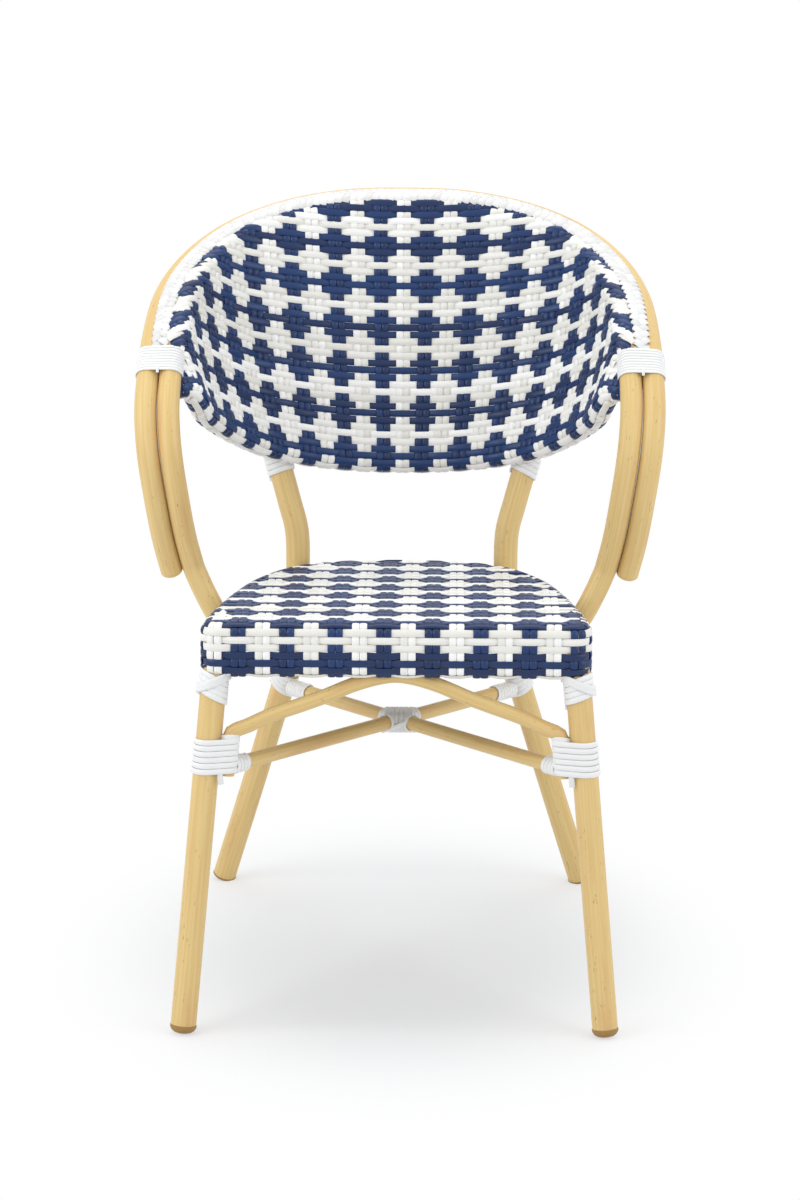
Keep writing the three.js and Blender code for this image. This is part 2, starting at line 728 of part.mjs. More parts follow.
// Windings round both hoops where the arms begin.
const arm_share = atHeight(outer_line, arm_wrap_height, 0.7, 0.9);
const arm_station = arm_share * outer_line.steps;
const arm_middle = hoopFrame(arm_station).place;
const awayFromMiddle = (station) => Math.sign(station - arm_station)
  * hoopFrame(station).place.distanceTo(arm_middle);
const stationAt = (travel) => shareWhere(
  awayFromMiddle, travel, arm_station - steps_per_row, arm_station + steps_per_row,
);
const arm_wrap_radii = [arm_tube / 2, arm_tube / 2];
const arm_pitch = arm_strip_width + arm_strip_gap;
const arm_wrap_half = (arm_wrap_loops * arm_pitch + arm_strip_width) / 2;
const arm_strip = { loops: arm_wrap_loops, wide: arm_strip_width, pitch: arm_pitch };
const arm_block_radii = blockRadii(arm_wrap_radii);
const arm_blocks = [];
for (const [name, side] of sides) {
  const frameAt = (travel) => sideFrame(hoopFrame(stationAt(travel)), side);
  winding(`arm_wrap_${name}`, frameAt, arm_wrap_radii, hoop_spacing, arm_strip);
  arm_blocks.push(windingBlock(frameAt, arm_block_radii, hoop_spacing, arm_wrap_half + clearance));
}

// Plain sleeves where a strip is wound close round one tube.
function sleeve(route, low, high, around, room = 0) {
  const outside = around + 2 * (clearance + wrap_thickness);
  const inside = roomy(around + room, sleeve_sides);
  return rod(route.getPointAt(low), route.getPointAt(high), outside, sleeve_sides, inside);
}

// The shares of a route that a stretch of a given length and middle height takes up.
function stretchAt(route, height, length, low, high) {
  const middle = atHeight(route, height, low, high);
  const half = length / route.getLength() / 2;
  return [middle - half, middle + half];
}

// Cross stretchers: one whole bar, and two half bars coped to it at the middle.
const stretcher_front_height = leg_wrap_height - front_stretcher_drop;
const stretcher_rear_height = rear_wrap_height - rear_stretcher_drop;
const right_rear = rearRoute(1);
const rear_at = right_rear.getPointAt(atHeight(right_rear, stretcher_rear_height, 0, 0.5));
const front_at = besideLeg(stretcher_front_height);
const whole_from = onSide(front_at, -1);
const half_to = onSide(rear_at, -1);
const crossing = whole_from.clone().lerp(rear_at, whole_from.x / (whole_from.x - rear_at.x));
const barCutter = (from, to) => rod(from, to, roomy(rail_tube, rail_sides), rail_sides);
const whole_cutter = barCutter(whole_from, rear_at);
const half_cutter = barCutter(front_at, half_to);

const rear_block_size = leg_tube + 2 * (wrap_thickness + 3 * clearance);
const rear_blocks = {};
for (const [name, side] of sides) {
  const route = rearRoute(side);
  const [low, high] = stretchAt(route, rear_wrap_height, rear_wrap_length, 0, 0.5);
  add(`rear_leg_wrap_${name}`, sleeve(route, low, high, leg_tube, bend_room), white_strip);
  const [block_low, block_high] = stretchAt(route, rear_wrap_height, 2 * rear_wrap_length, 0, 0.5);
  rear_blocks[name] = rod(
    route.getPointAt(block_low), route.getPointAt(block_high), rear_block_size, sleeve_sides,
  );
}
const whole_blocks = [leg_blocks.left, rear_blocks.right];
const half_blocks = [leg_blocks.right, rear_blocks.left];
add('stretcher_whole', cut(rod(whole_from, rear_at, rail_tube, rail_sides), ...whole_blocks), bamboo);
add('stretcher_half_front',
  cut(rod(front_at, crossing, rail_tube, rail_sides), whole_cutter, half_blocks[0]), bamboo);
add('stretcher_half_rear',
  cut(rod(crossing, half_to, rail_tube, rail_sides), whole_cutter, half_blocks[1]), bamboo);

const bars = [
  ['front_left', straight(whole_from, rear_at), front_sleeve_start, front_sleeve_length],
  ['rear_right', straight(rear_at, whole_from), rear_sleeve_start, rear_sleeve_length],
  ['front_right', straight(front_at, half_to), front_sleeve_start, front_sleeve_length],
  ['rear_left', straight(half_to, front_at), rear_sleeve_start, rear_sleeve_length],
];
for (const [name, bar, start, length] of bars) {
  const low = start / bar.getLength();
  add(`stretcher_wrap_${name}`, sleeve(bar, low, low + length / bar.getLength(), rail_tube), white_strip);
}

const wrapped_bar = rail_tube + 2 * (clearance + wrap_thickness);
function crossArm(from, to) {
  const way = to.clone().sub(from).normalize();
  const arm_from = crossing.clone().addScaledVector(way, -cross_wrap_reach);
  const arm_to = crossing.clone().addScaledVector(way, cross_wrap_reach);
  return rod(arm_from, arm_to, wrapped_bar, sleeve_sides);
}
const cross_wrap = join(crossArm(whole_from, rear_at), crossArm(front_at, half_to));
add('stretcher_cross_wrap', cut(cross_wrap, whole_cutter, half_cutter), white_strip);

// Sleeves at the tops of the front legs, under the woven side of the seat.
const seat_bottom_height = lower_rail_height - seat_edge;
for (const [name, side] of sides) {
  const leg = straight(onSide(front_foot, side), onSide(front_top, side));
  const high = atHeight(leg, seat_bottom_height - 2 * clearance);
  const low = high - leg_top_wrap_length / leg.getLength();
  add(`front_leg_top_wrap_${name}`, cut(sleeve(leg, low, high, leg_tube), leg_blocks[name]), white_strip);
}

// Woven seat: a thin sheet over the upper rail, down its sides and under the lower rail.
const quarter = Math.SQRT1_2;
const rail_room = roomy(rail_tube, rail_sides) / 2;
const seat_outside = (edge) => [
  [0, upper_rail_height + edge],
  [edge * quarter, upper_rail_height + edge * quarter],
  [edge, upper_rail_height],
  [edge, lower_rail_height],
  [edge * quarter, lower_rail_height - edge * quarter],
  [0, lower_rail_height - edge],
];
const seat_section = [
  ...seat_outside(seat_edge),
  [-seat_flange, lower_rail_height - seat_edge],
  [-seat_flange, lower_rail_height - rail_room],
  [0, lower_rail_height - rail_room],
  [rail_room * quarter, lower_rail_height - rail_room * quarter],
  [rail_room, lower_rail_height],
  [rail_room, upper_rail_height],
  [rail_room * quarter, upper_rail_height + rail_room * quarter],
  [0, upper_rail_height + rail_room],
];
const seat_side_station = seat_stations / 4;
const fromSide = (ring) => [...ring.slice(seat_side_station), ...ring.slice(0, seat_side_station)];
const seat_weave = loft(seatRings(seat_section).map(fromSide), 'strip');

// Grooves over the seat from front to back, between its pairs of strands.
const pair_grooves = [];
const groove_length = seat_depth + 2 * overrun;
for (let groove = 1; groove < seat_pairs; groove += 1) {
  const profile = new THREE.Shape([
    new THREE.Vector2(0, -weave_relief),
    new THREE.Vector2(pair_pitch / 2, weave_relief),
    new THREE.Vector2(-pair_pitch / 2, weave_relief),
  ]);
  const cutter = new THREE.ExtrudeGeometry(profile, {
    depth: groove_length, steps: 1, bevelEnabled: false,
  });
  cutter.rotateX(Math.PI / 2);
  cutter.translate(0, groove_length - overrun, 0);
  cutter.rotateX(-Math.atan(seat_fall / seat_depth));
  cutter.translate((groove - seat_pairs / 2) * pair_pitch, 0, seat_height);
  pair_grooves.push(cutter);
}
const seat_cutters = [...front_cutters, ...rear_cutters, inner_cutter, arch_cutter];
add('seat_weave', cut(seat_weave, ...seat_cutters, ...pair_grooves), navy_weave);

// Sleeves where the arms meet the seat, cut back to the woven side.
const wrapped_arm = arm_tube + 2 * (clearance + wrap_thickness);
const seat_block = loft(seatRings(seat_outside(seat_edge + clearance)), 'fan');
for (const [name, side] of sides) {
  const route = spline(tail_stations.map((place) => onSide(place, side)));
  const low = 1 - arm_seat_wrap_start / route.getLength();
  const high = low - arm_seat_wrap_length / route.getLength();
  const wrap = rod(route.getPointAt(low), route.getPointAt(high), wrapped_arm, sleeve_sides);
  add(`arm_seat_wrap_${name}`, cut(wrap, inner_cutter, seat_block), white_strip);
}

// Woven back: a sheet that turns round the lower rail, rises in front of both tubes and
// ends over the inner hoop, beside the braid.
const rail_turn_share = 0.53;
const rail_turn_steps = 4;
const hoop_turn_steps = 3;
const braid_side_angle = THREE.MathUtils.degToRad(97);
const rail_inside = roomy(rail_tube, rail_sides) / 2;
const hoop_inside = roomy(arm_tube, arm_sides) / 2;

function shellSection(column, groove) {
  const frame = shell_frames[column];
  const [hoop, rail] = [shell_hoop[column], shell_rail[column]];
  const rail_along = rail_line.getTangentAt((column + 1) / rail_line.steps);
  const rise = hoop.clone().sub(rail);
  const rail_up = rise.clone().addScaledVector(rail_along, -rise.dot(rail_along)).normalize();
  const rail_front = new THREE.Vector3().crossVectors(rail_along, rail_up).normalize();
  const hoop_fall = rise.clone().negate();
  const sheet_angle = Math.atan2(hoop_fall.dot(frame.above), hoop_fall.dot(frame.across)) + Math.PI / 2;
  const hoopSpot = (angle, radius) => onHoop(
    { ...frame, place: hoop }, radius * Math.cos(angle), radius * Math.sin(angle),
  );
  const sideOf = (depth) => {
    const spots = [];
    for (let step = rail_turn_steps; step > 0; step -= 1) {
      const angle = 2 * Math.PI * rail_turn_share * step / rail_turn_steps;
      const radius = rail_inside + depth;
      spots.push(rail.clone().addScaledVector(rail_front, radius * Math.cos(angle))
        .addScaledVector(rail_up, -radius * Math.sin(angle)));
    }
    const low = rail.clone().addScaledVector(rail_front, rail_inside + depth);
    const high = hoopSpot(sheet_angle, hoop_inside + depth);
    for (let row = 0; row < sheet_rows; row += 1) {
      const share = row / sheet_rows;
      const bulge = back_bulge * Math.sin(Math.PI * share) * rise.length() / middle_rise;
      spots.push(low.clone().lerp(high, share).addScaledVector(rail_front, -bulge));
    }
    for (let step = 0; step <= hoop_turn_steps; step += 1) {
      const angle = sheet_angle + (braid_side_angle - sheet_angle) * step / hoop_turn_steps;
      spots.push(hoopSpot(angle, hoop_inside + depth));
    }
    return spots;
  };
  return [...sideOf(groove), ...sideOf(weave_thickness - groove).reverse()];
}
const middle_rise = shell_hoop[shell_half].distanceTo(shell_rail[shell_half]);

// The pairs of strands stand out at the stations, and the grooves between them lie halfway.
const shell_sections = shell_hoop.flatMap((_, column) => {
  if (column === 0) {
    return [shellSection(0, 0)];
  }
  const before = shellSection(column - 1, weave_relief);
  const groove = shellSection(column, weave_relief).map((place, spot) => place.lerp(before[spot], 0.5));
  return [groove, shellSection(column, 0)];
});
add('back_weave', cut(loft(shell_sections, 'strip'), ...rear_cutters, ...arm_blocks), navy_weave);

// Braid in the valley over both hoops, from arm wrap to arm wrap.
const tube_room = arm_tube / 2 + 2 * clearance;
const valley = hoop_spacing / 2;
const braid_half = braid_width / 2;
const tube_corner = tube_room / Math.cos(Math.PI / arm_sides);
const overTube = (reach) => Math.sqrt(tube_corner ** 2 - (valley - reach) ** 2);
const braid_inner_shares = [0, 0.53, 1];
const braid_section = [
  [-braid_half, braid_edge], [0, braid_crown], [braid_half, braid_edge],
  ...braid_inner_shares.map((share) => [braid_half * share, overTube(braid_half * share)]).reverse(),
  ...braid_inner_shares.slice(1).map((share) => [-braid_half * share, overTube(braid_half * share)]),
];
const braid_rings = shell_frames.map((frame) => braid_section.map(
  ([reach, rise]) => onHoop(frame, valley + reach, rise),
));
add('rim_braid', cut(loft(braid_rings, 'fan'), ...arm_blocks), white_strip);

// Sleeves on the uprights, under the rim of the back and below the outer hoop.
const rim_size = roomy(2 * (rail_inside + weave_thickness), rail_sides);
const rim_cutter = tube(rail_line, rim_size, rail_sides, rail_line.steps);
for (const [name, side] of sides) {
  const route = rearRoute(side);
  const rim_stretch = stretchAt(route, rim_wrap_height, rim_wrap_length);
  const top_stretch = stretchAt(route, upright_wrap_height, upright_wrap_length);
  const rim_wrap = sleeve(route, ...rim_stretch, leg_tube, bend_room);
  add(`back_rail_wrap_${name}`, cut(rim_wrap, rim_cutter), white_strip);
  add(`upright_top_wrap_${name}`, sleeve(route, ...top_stretch, leg_tube, bend_room), white_strip);
}

// The origin comes under the middle of the whole chair.
const extent = new THREE.Box3().setFromObject(chair);
chair.position.y = -(extent.min.y + extent.max.y) / 2;

export default chair;
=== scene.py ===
"""Looks of a French bistro armchair: bamboo-look tubes, two-colour weave, windings and braid."""

import math
import random
from bisect import bisect_right
from typing import NamedTuple

import bmesh
import bpy
from bpy.props import FloatProperty, FloatVectorProperty, IntProperty, PointerProperty
from mathutils import Matrix, Vector


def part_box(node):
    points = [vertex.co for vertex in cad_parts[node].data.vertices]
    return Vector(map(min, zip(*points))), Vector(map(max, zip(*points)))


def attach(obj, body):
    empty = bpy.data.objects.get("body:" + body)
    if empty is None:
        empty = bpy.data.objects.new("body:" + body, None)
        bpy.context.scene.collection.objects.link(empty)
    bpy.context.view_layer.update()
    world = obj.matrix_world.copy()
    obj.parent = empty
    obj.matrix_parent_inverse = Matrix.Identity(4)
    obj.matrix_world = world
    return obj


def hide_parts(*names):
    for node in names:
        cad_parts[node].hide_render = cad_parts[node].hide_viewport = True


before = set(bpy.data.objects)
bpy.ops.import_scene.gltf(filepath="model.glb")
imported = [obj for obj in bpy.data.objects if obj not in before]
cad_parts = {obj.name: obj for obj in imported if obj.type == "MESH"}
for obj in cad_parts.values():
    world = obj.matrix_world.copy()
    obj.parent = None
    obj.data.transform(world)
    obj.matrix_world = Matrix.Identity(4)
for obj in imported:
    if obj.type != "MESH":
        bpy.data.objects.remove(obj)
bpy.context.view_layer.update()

bl_info = {
    "name": "Bistro Armchair",
    "version": (1, 0, 0),
    "blender": (4, 5, 0),
    "location": "View3D > Sidebar > Bistro Chair",
    "description": "Dresses the welded frame of a woven bistro armchair",
    "category": "Object",
}

UP = Vector((0, 0, 1))

# Seat, in metres.
SEAT_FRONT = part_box("seat_weave")[0].y
SEAT_HEIGHT = 0.450
SEAT_WIDTH = 0.418
SEAT_DEPTH = 0.413
SEAT_SIDE = 0.058
SEAT_FALL = 0.025
SEAT_EDGE = 0.0123

# Tubes.
LEG_TUBE = 0.028
ARM_TUBE = 0.025
RAIL_TUBE = 0.016
POST_TUBE = 0.012
CLEARANCE = 0.0003

# Hoops and back.
HOOP_WIDTH = 0.565
HOOP_BACK = 0.500
HOOP_HEIGHT = 0.842
RAIL_WIDTH = 0.464
RAIL_BACK = 0.425
RAIL_HEIGHT = 0.540
RAIL_RISE = 0.133
RAIL_COVER_SHARE = 0.955
BACK_BULGE = 0.008

# Legs, arch and stretchers.
FRONT_FOOT_SPREAD = 0.460
FRONT_FOOT_FORWARD = 0.038
FRONT_TOP_SPREAD = 0.388
FRONT_TOP_BACK = 0.018
LEG_TOP_DROP = 0.004
REAR_FOOT_SPREAD = 0.438
REAR_FOOT_BACK = 0.488
REAR_JOINT_INSET = 0.018
UPRIGHT_SPREAD = 0.276
COPE_DEPTH = 0.006
CAP_HEIGHT = 0.011
CAP_OVERLAP = 0.001
ARM_JOINT_BACK = 0.205
ARM_END_DROP = 0.014
ARM_END_INSET = 0.004
LEG_WRAP_HEIGHT = 0.305
REAR_WRAP_HEIGHT = 0.271
ARCH_STRAIGHT = 0.042
ARCH_TOP_BACK = 0.008
ARCH_FOOT_SHOWN = 0.003
FRONT_STRETCHER_DROP = 0.014
REAR_STRETCHER_DROP = 0.005

# Shares of the sizes above that the routes follow: across, back and up.
HOOP_SHARES = [
    (0.000, 1.000, 1.000), (0.240, 0.998, 0.9975), (0.482, 0.986, 0.984), (0.668, 0.956, 0.964),
    (0.784, 0.910, 0.945), (0.891, 0.812, 0.9193), (0.962, 0.670, 0.887), (0.989, 0.532, 0.8430),
    (0.998, 0.450, 0.7985), (0.999, 0.394, 0.7620), (0.987, 0.361, 0.7130), (0.963, 0.371, 0.6500),
    (0.936, 0.402, 0.5870), (0.908, 0.424, 0.5430),
]
HOOP_TURNS = [0, 8, 20, 33, 45, 63, 79, 87, 90, 90, 90, 90, 90, 90]
HOOP_LIFTS = [-13, -12, -9, -5, -1, 5, 10, 8, 3, 0, 0, 0, 0, 0]
SEAT_SHARES = [
    (0, 0), (0.4, 0), (0.8, 0), (0.982, 0.0), (1.0, 0.008), (1.0, 0.07), (0.958, 0.264),
    (0.892, 0.484), (0.802, 0.684), (0.649, 0.86), (0.5, 0.94), (0.317, 0.98), (0, 1),
]
BACK_RAIL_SHARES = [
    (0, 1, 0), (0.176, 0.992, 0.01), (0.352, 0.976, 0.042), (0.49, 0.95, 0.09), (0.6, 0.92, 0.145),
    (0.682, 0.888, 0.2), (0.82, 0.81, 0.36), (0.914, 0.725, 0.52), (0.965, 0.645, 0.66),
    (0.992, 0.585, 0.82), (1.004, 0.555, 0.98),
]
WING_END_SHARES = [(1.022, 0.564, 0.902), (1.078, 0.540, 0.932)]
LOWER_RUN_SHARES = [(0, 0, 0.016), (0.566, 0.406, 0.499), (0.88, 0.74, 0.79)]
WAIST_RUN_SHARES = [(0.056, 0.2, 0.34), (0.38, 0.43, 0.58)]
UPPER_RUN_SHARES = [(0.46, 0.38, 0.445), (1, 1, 1)]
UPRIGHT_TOP_SHARE = 0.645
ARM_RUN_SHARES = [(0.17, -0.05, 0.22), (0.38, 0.1, 0.46), (0.66, 0.5, 0.74)]
ARCH_SHARES = [
    (0.018, 0.03, 0.05), (0.1, 0.1, 0.14), (0.245, 0.25, 0.324), (0.426, 0.43, 0.5),
    (0.565, 0.57, 0.64), (0.716, 0.72, 0.817), (0.813, 0.82, 0.908), (0.91, 0.91, 0.975),
]
POST_SHARES = {"front": 0.09, "rear": 0.86}
BAR_SHARES = {"front": 0.32, "rear": 0.68}

SPAN_STEPS = 24
STEEP = 0.9  # past this share of a way's length in one axis, another axis is taken as level
SIDES = {"left": -1, "right": 1}


def spot(across, back, up):
    """A place by its distances from the middle, the front of the seat and the floor."""
    return Vector((across, SEAT_FRONT + back, up))


def on_side(place, side):
    return Vector((side * place.x, place.y, place.z))


def between(start, end, shares):
    return Vector(a + share * (b - a) for a, b, share in zip(start, end, shares))


def bisected(measure, value, low, high, halvings=40):
    """Where between low and high a measure that only rises or only falls has the value."""
    rising = measure(high) > measure(low)
    for _ in range(halvings):
        middle = (low + high) / 2
        if (measure(middle) < value) == rising:
            low = middle
        else:
            high = middle
    return low


class Line:
    """A fine row of points that is walked by its length."""

    def __init__(self, fine):
        self.fine = fine
        self.lengths = [0.0]
        for here, there in zip(fine, fine[1:]):
            self.lengths.append(self.lengths[-1] + (there - here).length)
        self.length = self.lengths[-1]

    def segment(self, travel):
        """The step of the row that a travel falls in, and how much of that step is passed."""
        low = min(max(bisect_right(self.lengths, travel) - 1, 0), len(self.fine) - 2)
        return low, (travel - self.lengths[low]) / (self.lengths[low + 1] - self.lengths[low])

    def at(self, travel):
        low, part = self.segment(travel)
        return self.fine[low].lerp(self.fine[low + 1], part)

    def way(self, travel, reach=0.0015):
        return (self.at(travel + reach) - self.at(travel - reach)).normalized()

    def where(self, measure, value, low=0.0, high=1.0):
        """The travel at which a measure of the place has the value, between two shares."""
        return bisected(lambda travel: measure(self.at(travel)), value,
                        low * self.length, high * self.length)


class Spline(Line):
    """A smooth centripetal curve through chosen places."""

    def __init__(self, places, closed=False):
        self.places = places
        self.closed = closed
        self.spans = len(places) if closed else len(places) - 1
        count = self.spans * SPAN_STEPS
        super().__init__([self.point(step / count) for step in range(count + 1)])

    def neighbour(self, index):
        places = self.places
        if self.closed:
            return places[index % len(places)]
        if index < 0:
            return 2 * places[0] - places[1]
        if index >= len(places):
            return 2 * places[-1] - places[-2]
        return places[index]

    def point(self, share):
        span = min(int(share * self.spans), self.spans - 1)
        weight = share * self.spans - span
        p0, p1, p2, p3 = (self.neighbour(span + step) for step in (-1, 0, 1, 2))
        k1 = (p2 - p1).length_squared ** 0.25 or 1
        k0 = (p1 - p0).length_squared ** 0.25 or k1
        k2 = (p3 - p2).length_squared ** 0.25 or k1
        start = ((p1 - p0) / k0 - (p2 - p0) / (k0 + k1) + (p2 - p1) / k1) * k1
        end = ((p2 - p1) / k1 - (p3 - p1) / (k1 + k2) + (p3 - p2) / k2) * k1
        bend = 3 * (p2 - p1) - 2 * start - end
        twist = 2 * (p1 - p2) + start + end
        return p1 + weight * (start + weight * (bend + weight * twist))

    def tangent(self, share, reach=1e-4):
        return (self.point(min(share + reach, 1)) - self.point(max(share - reach, 0))).normalized()


def full_span(half):
    """A spline over both halves of the chair, from the left end to the right one."""
    return Spline([on_side(place, -1) for place in reversed(half[1:])] + half)


class Frame(NamedTuple):
    """A place on the hoops, with the ways across to the inner tube, above both and along them."""

    place: Vector
    across: Vector
    above: Vector
    along: Vector

    def spot(self, reach, rise):
        return self.place + self.across * reach + self.above * rise

    def on_side(self, side):
        return Frame(*(on_side(way, side) for way in self))


# Hoops: the inner tube lies beside the outer one from arm to arm.
HOOP_SPACING = ARM_TUBE + CLEARANCE
outer_line = full_span([
    spot(a * HOOP_WIDTH / 2, b * HOOP_BACK, c * HOOP_HEIGHT) for a, b, c in HOOP_SHARES
])
hoop_way = full_span([Vector((turn, lift, 0)) for turn, lift in zip(HOOP_TURNS, HOOP_LIFTS)])


def hoop_frame(share):
    place = outer_line.point(share)
    along = outer_line.tangent(share)
    way = hoop_way.point(share)
    turn = math.radians(way.x)
    lift = math.radians(way.y)
    inward = Vector((-math.sin(turn), -math.cos(turn), 0))
    inward = (inward - along * inward.dot(along)).normalized()
    upward = inward.cross(along).normalized()
    return Frame(
        place,
        inward * math.cos(lift) + upward * math.sin(lift),
        upward * math.cos(lift) - inward * math.sin(lift),
        along,
    )


class FrameLine(Line):
    """A line beside the outer hoop that knows its frames."""

    def __init__(self, frames, reach):
        super().__init__([one.spot(reach, 0) for one in frames])
        self.frames = frames

    def frame(self, travel):
        low, part = self.segment(travel)
        return Frame(*(a.lerp(b, part) for a, b in zip(self.frames[low], self.frames[low + 1])))


HOOP_STEPS = 520
hoop_frames = [hoop_frame(step / HOOP_STEPS) for step in range(HOOP_STEPS + 1)]
outer_hoop = FrameLine(hoop_frames, 0)
inner_places = [one.spot(HOOP_SPACING, 0) for one in hoop_frames]

# Seat outline: the middle line of both seat rails, seen from above.
UPPER_RAIL = SEAT_HEIGHT - SEAT_EDGE
LOWER_RAIL = SEAT_HEIGHT - SEAT_SIDE + SEAT_EDGE
seat_half = [
    spot(a * (SEAT_WIDTH / 2 - SEAT_EDGE), SEAT_EDGE + b * (SEAT_DEPTH - 2 * SEAT_EDGE), 0)
    for a, b in SEAT_SHARES
]
seat_outline = Spline(
    seat_half + [on_side(place, -1) for place in reversed(seat_half[1:-1])], closed=True)


# Shares of the outline between which the right half's front, side and rear are searched.
FRONT_PART = (0, 0.2)
SIDE_PART = (0.1, 0.5)
REAR_PART = (0.22, 0.5)


def seat_fall(place):
    return SEAT_FALL * (place.y - SEAT_FRONT) / SEAT_DEPTH


def lowered(place, height):
    return Vector((place.x, place.y, height - seat_fall(place)))


def seat_rail_at(back, height):
    """The place and the outward way of a seat rail on the right, at a depth from the front."""
    share = bisected(lambda here: seat_outline.point(here).y, SEAT_FRONT + back, *SIDE_PART)
    along = seat_outline.tangent(share)
    return lowered(seat_outline.point(share), height), Vector((along.y, -along.x, 0))


def seat_depth_at(share):
    return SEAT_EDGE + share * (SEAT_DEPTH - 2 * SEAT_EDGE)


# Back rail, front legs, rear legs, arms, arch and stretchers.
def rail_spline(shares):
    return full_span([
        spot(a * RAIL_WIDTH / 2, b * RAIL_BACK, RAIL_HEIGHT + c * RAIL_RISE) for a, b, c in shares
    ])


# The woven back follows the rail, and at its ends it turns on to the arms.
back_rail = rail_spline(BACK_RAIL_SHARES)
wing_rail = rail_spline(BACK_RAIL_SHARES[:-1] + WING_END_SHARES)

front_foot = spot(FRONT_FOOT_SPREAD / 2, -FRONT_FOOT_FORWARD, 0)
front_top = spot(FRONT_TOP_SPREAD / 2, FRONT_TOP_BACK, LOWER_RAIL)
front_axis = (front_top - front_foot).normalized()


def front_leg_at(height):
    return front_foot.lerp(front_top, height / LOWER_RAIL)


def rear_leg():
    """The right rear leg: from the foot, past the seat and up behind the back to the outer hoop."""
    rail, outward = seat_rail_at(SEAT_DEPTH - 2 * SEAT_EDGE - REAR_JOINT_INSET, 0)
    reach = (RAIL_TUBE + LEG_TUBE) / 2 + 2 * CLEARANCE
    joint = rail + outward * reach
    lower = Vector((joint.x, joint.y, LOWER_RAIL + rail.z))
    upper = Vector((joint.x, joint.y, UPPER_RAIL + rail.z))
    foot = spot(REAR_FOOT_SPREAD / 2, REAR_FOOT_BACK, 0)
    hoop = outer_line.at(UPRIGHT_TOP_SHARE * outer_line.length)
    top = hoop - (hoop - upper).normalized() * COPE_DEPTH
    passing = back_rail.where(lambda place: place.x, UPRIGHT_SPREAD / 2, 0.5, 1)
    along = back_rail.way(passing)
    out = Vector((-along.y, along.x, 0)).normalized()
    waist = back_rail.at(passing) + out * (reach + 2 * CLEARANCE)
    return Spline([
        *(between(foot, lower, share) for share in LOWER_RUN_SHARES), lower, upper,
        *(between(upper, waist, share) for share in WAIST_RUN_SHARES), waist,
        *(between(waist, top, share) for share in UPPER_RUN_SHARES),
    ])


rear_line = rear_leg()


def arm_tail():
    """The inner hoop's run from the end of the pair down to the side of the seat."""
    rail, outward = seat_rail_at(ARM_JOINT_BACK, LOWER_RAIL)
    joint = rail + outward * ((RAIL_TUBE + ARM_TUBE) / 2 + CLEARANCE)
    start = inner_places[-1]
    return Spline([
        start, *(between(start, joint, share) for share in ARM_RUN_SHARES), joint,
        joint + Vector((-ARM_END_INSET, 0, -ARM_END_DROP)),
    ])


tail_line = arm_tail()
tail_places = tail_line.fine[1:]
inner_line = Line(
    [on_side(place, -1) for place in reversed(tail_places)] + inner_places + tail_places)

ARCH_REACH = (LEG_TUBE + RAIL_TUBE) / 2 + 3 * CLEARANCE


def beside_leg(height):
    return front_leg_at(height) - Vector((ARCH_REACH / front_axis.z, 0, 0))


arch_foot = beside_leg(LEG_WRAP_HEIGHT - ARCH_STRAIGHT / 2 - ARCH_FOOT_SHOWN)
arch_bend = beside_leg(LEG_WRAP_HEIGHT + ARCH_STRAIGHT / 2)
arch_drop = math.sqrt((RAIL_TUBE + 2 * CLEARANCE) ** 2 - ARCH_TOP_BACK ** 2)
arch_top = lowered(spot(0, SEAT_EDGE, 0), LOWER_RAIL - arch_drop) + Vector((0, ARCH_TOP_BACK, 0))
arch_line = full_span([
    arch_top, *(between(arch_bend, arch_top, share) for share in reversed(ARCH_SHARES)),
    arch_bend, arch_foot,
])
bar_front = beside_leg(LEG_WRAP_HEIGHT - FRONT_STRETCHER_DROP)
bar_rear_height = REAR_WRAP_HEIGHT - REAR_STRETCHER_DROP
bar_rear = rear_line.at(rear_line.where(lambda place: place.z, bar_rear_height, 0, 0.5))
whole_bar = Line([on_side(bar_front, -1), bar_rear])
crossing = whole_bar.at(whole_bar.where(lambda place: place.x, 0))


# Meshes: a rod is bent over its stops, and many rods make one piece.
class Stop(NamedTuple):
    """A place on a rod's middle line and the way that its outer side faces."""

    place: Vector
    out: Vector


def squared(stops):
    """Each stop with its ways across and out square to the line, and its travel along it."""
    ways = []
    travel = 0.0
    for index, stop in enumerate(stops):
        before = stops[max(index - 1, 0)].place
        after = stops[min(index + 1, len(stops) - 1)].place
        along = (after - before).normalized()
        across = stop.out.cross(along).normalized()
        travel += (stop.place - before).length
        ways.append((stop.place, across, along.cross(across), travel))
    return ways


def steps(start, end, step):
    """Values from start to end, no more than a step apart."""
    count = max(2, math.ceil(abs(end - start) / step))
    return [start + (end - start) * index / count for index in range(count + 1)]


def round_bar(diameter):
    return lambda angle: (diameter / 2 * math.cos(angle), diameter / 2 * math.sin(angle))


EDGE_SQUARENESS = 0.85
STRAND_SQUARENESS = 0.6
STRIP_SQUARENESS = 0.5


def flat_oval(width, thickness, squareness=STRAND_SQUARENESS):
    def outline(angle):
        wide = math.copysign(abs(math.cos(angle)) ** squareness, math.cos(angle))
        thick = math.copysign(abs(math.sin(angle)) ** EDGE_SQUARENESS, math.sin(angle))
        return wide * width / 2, thick * thickness / 2
    return outline


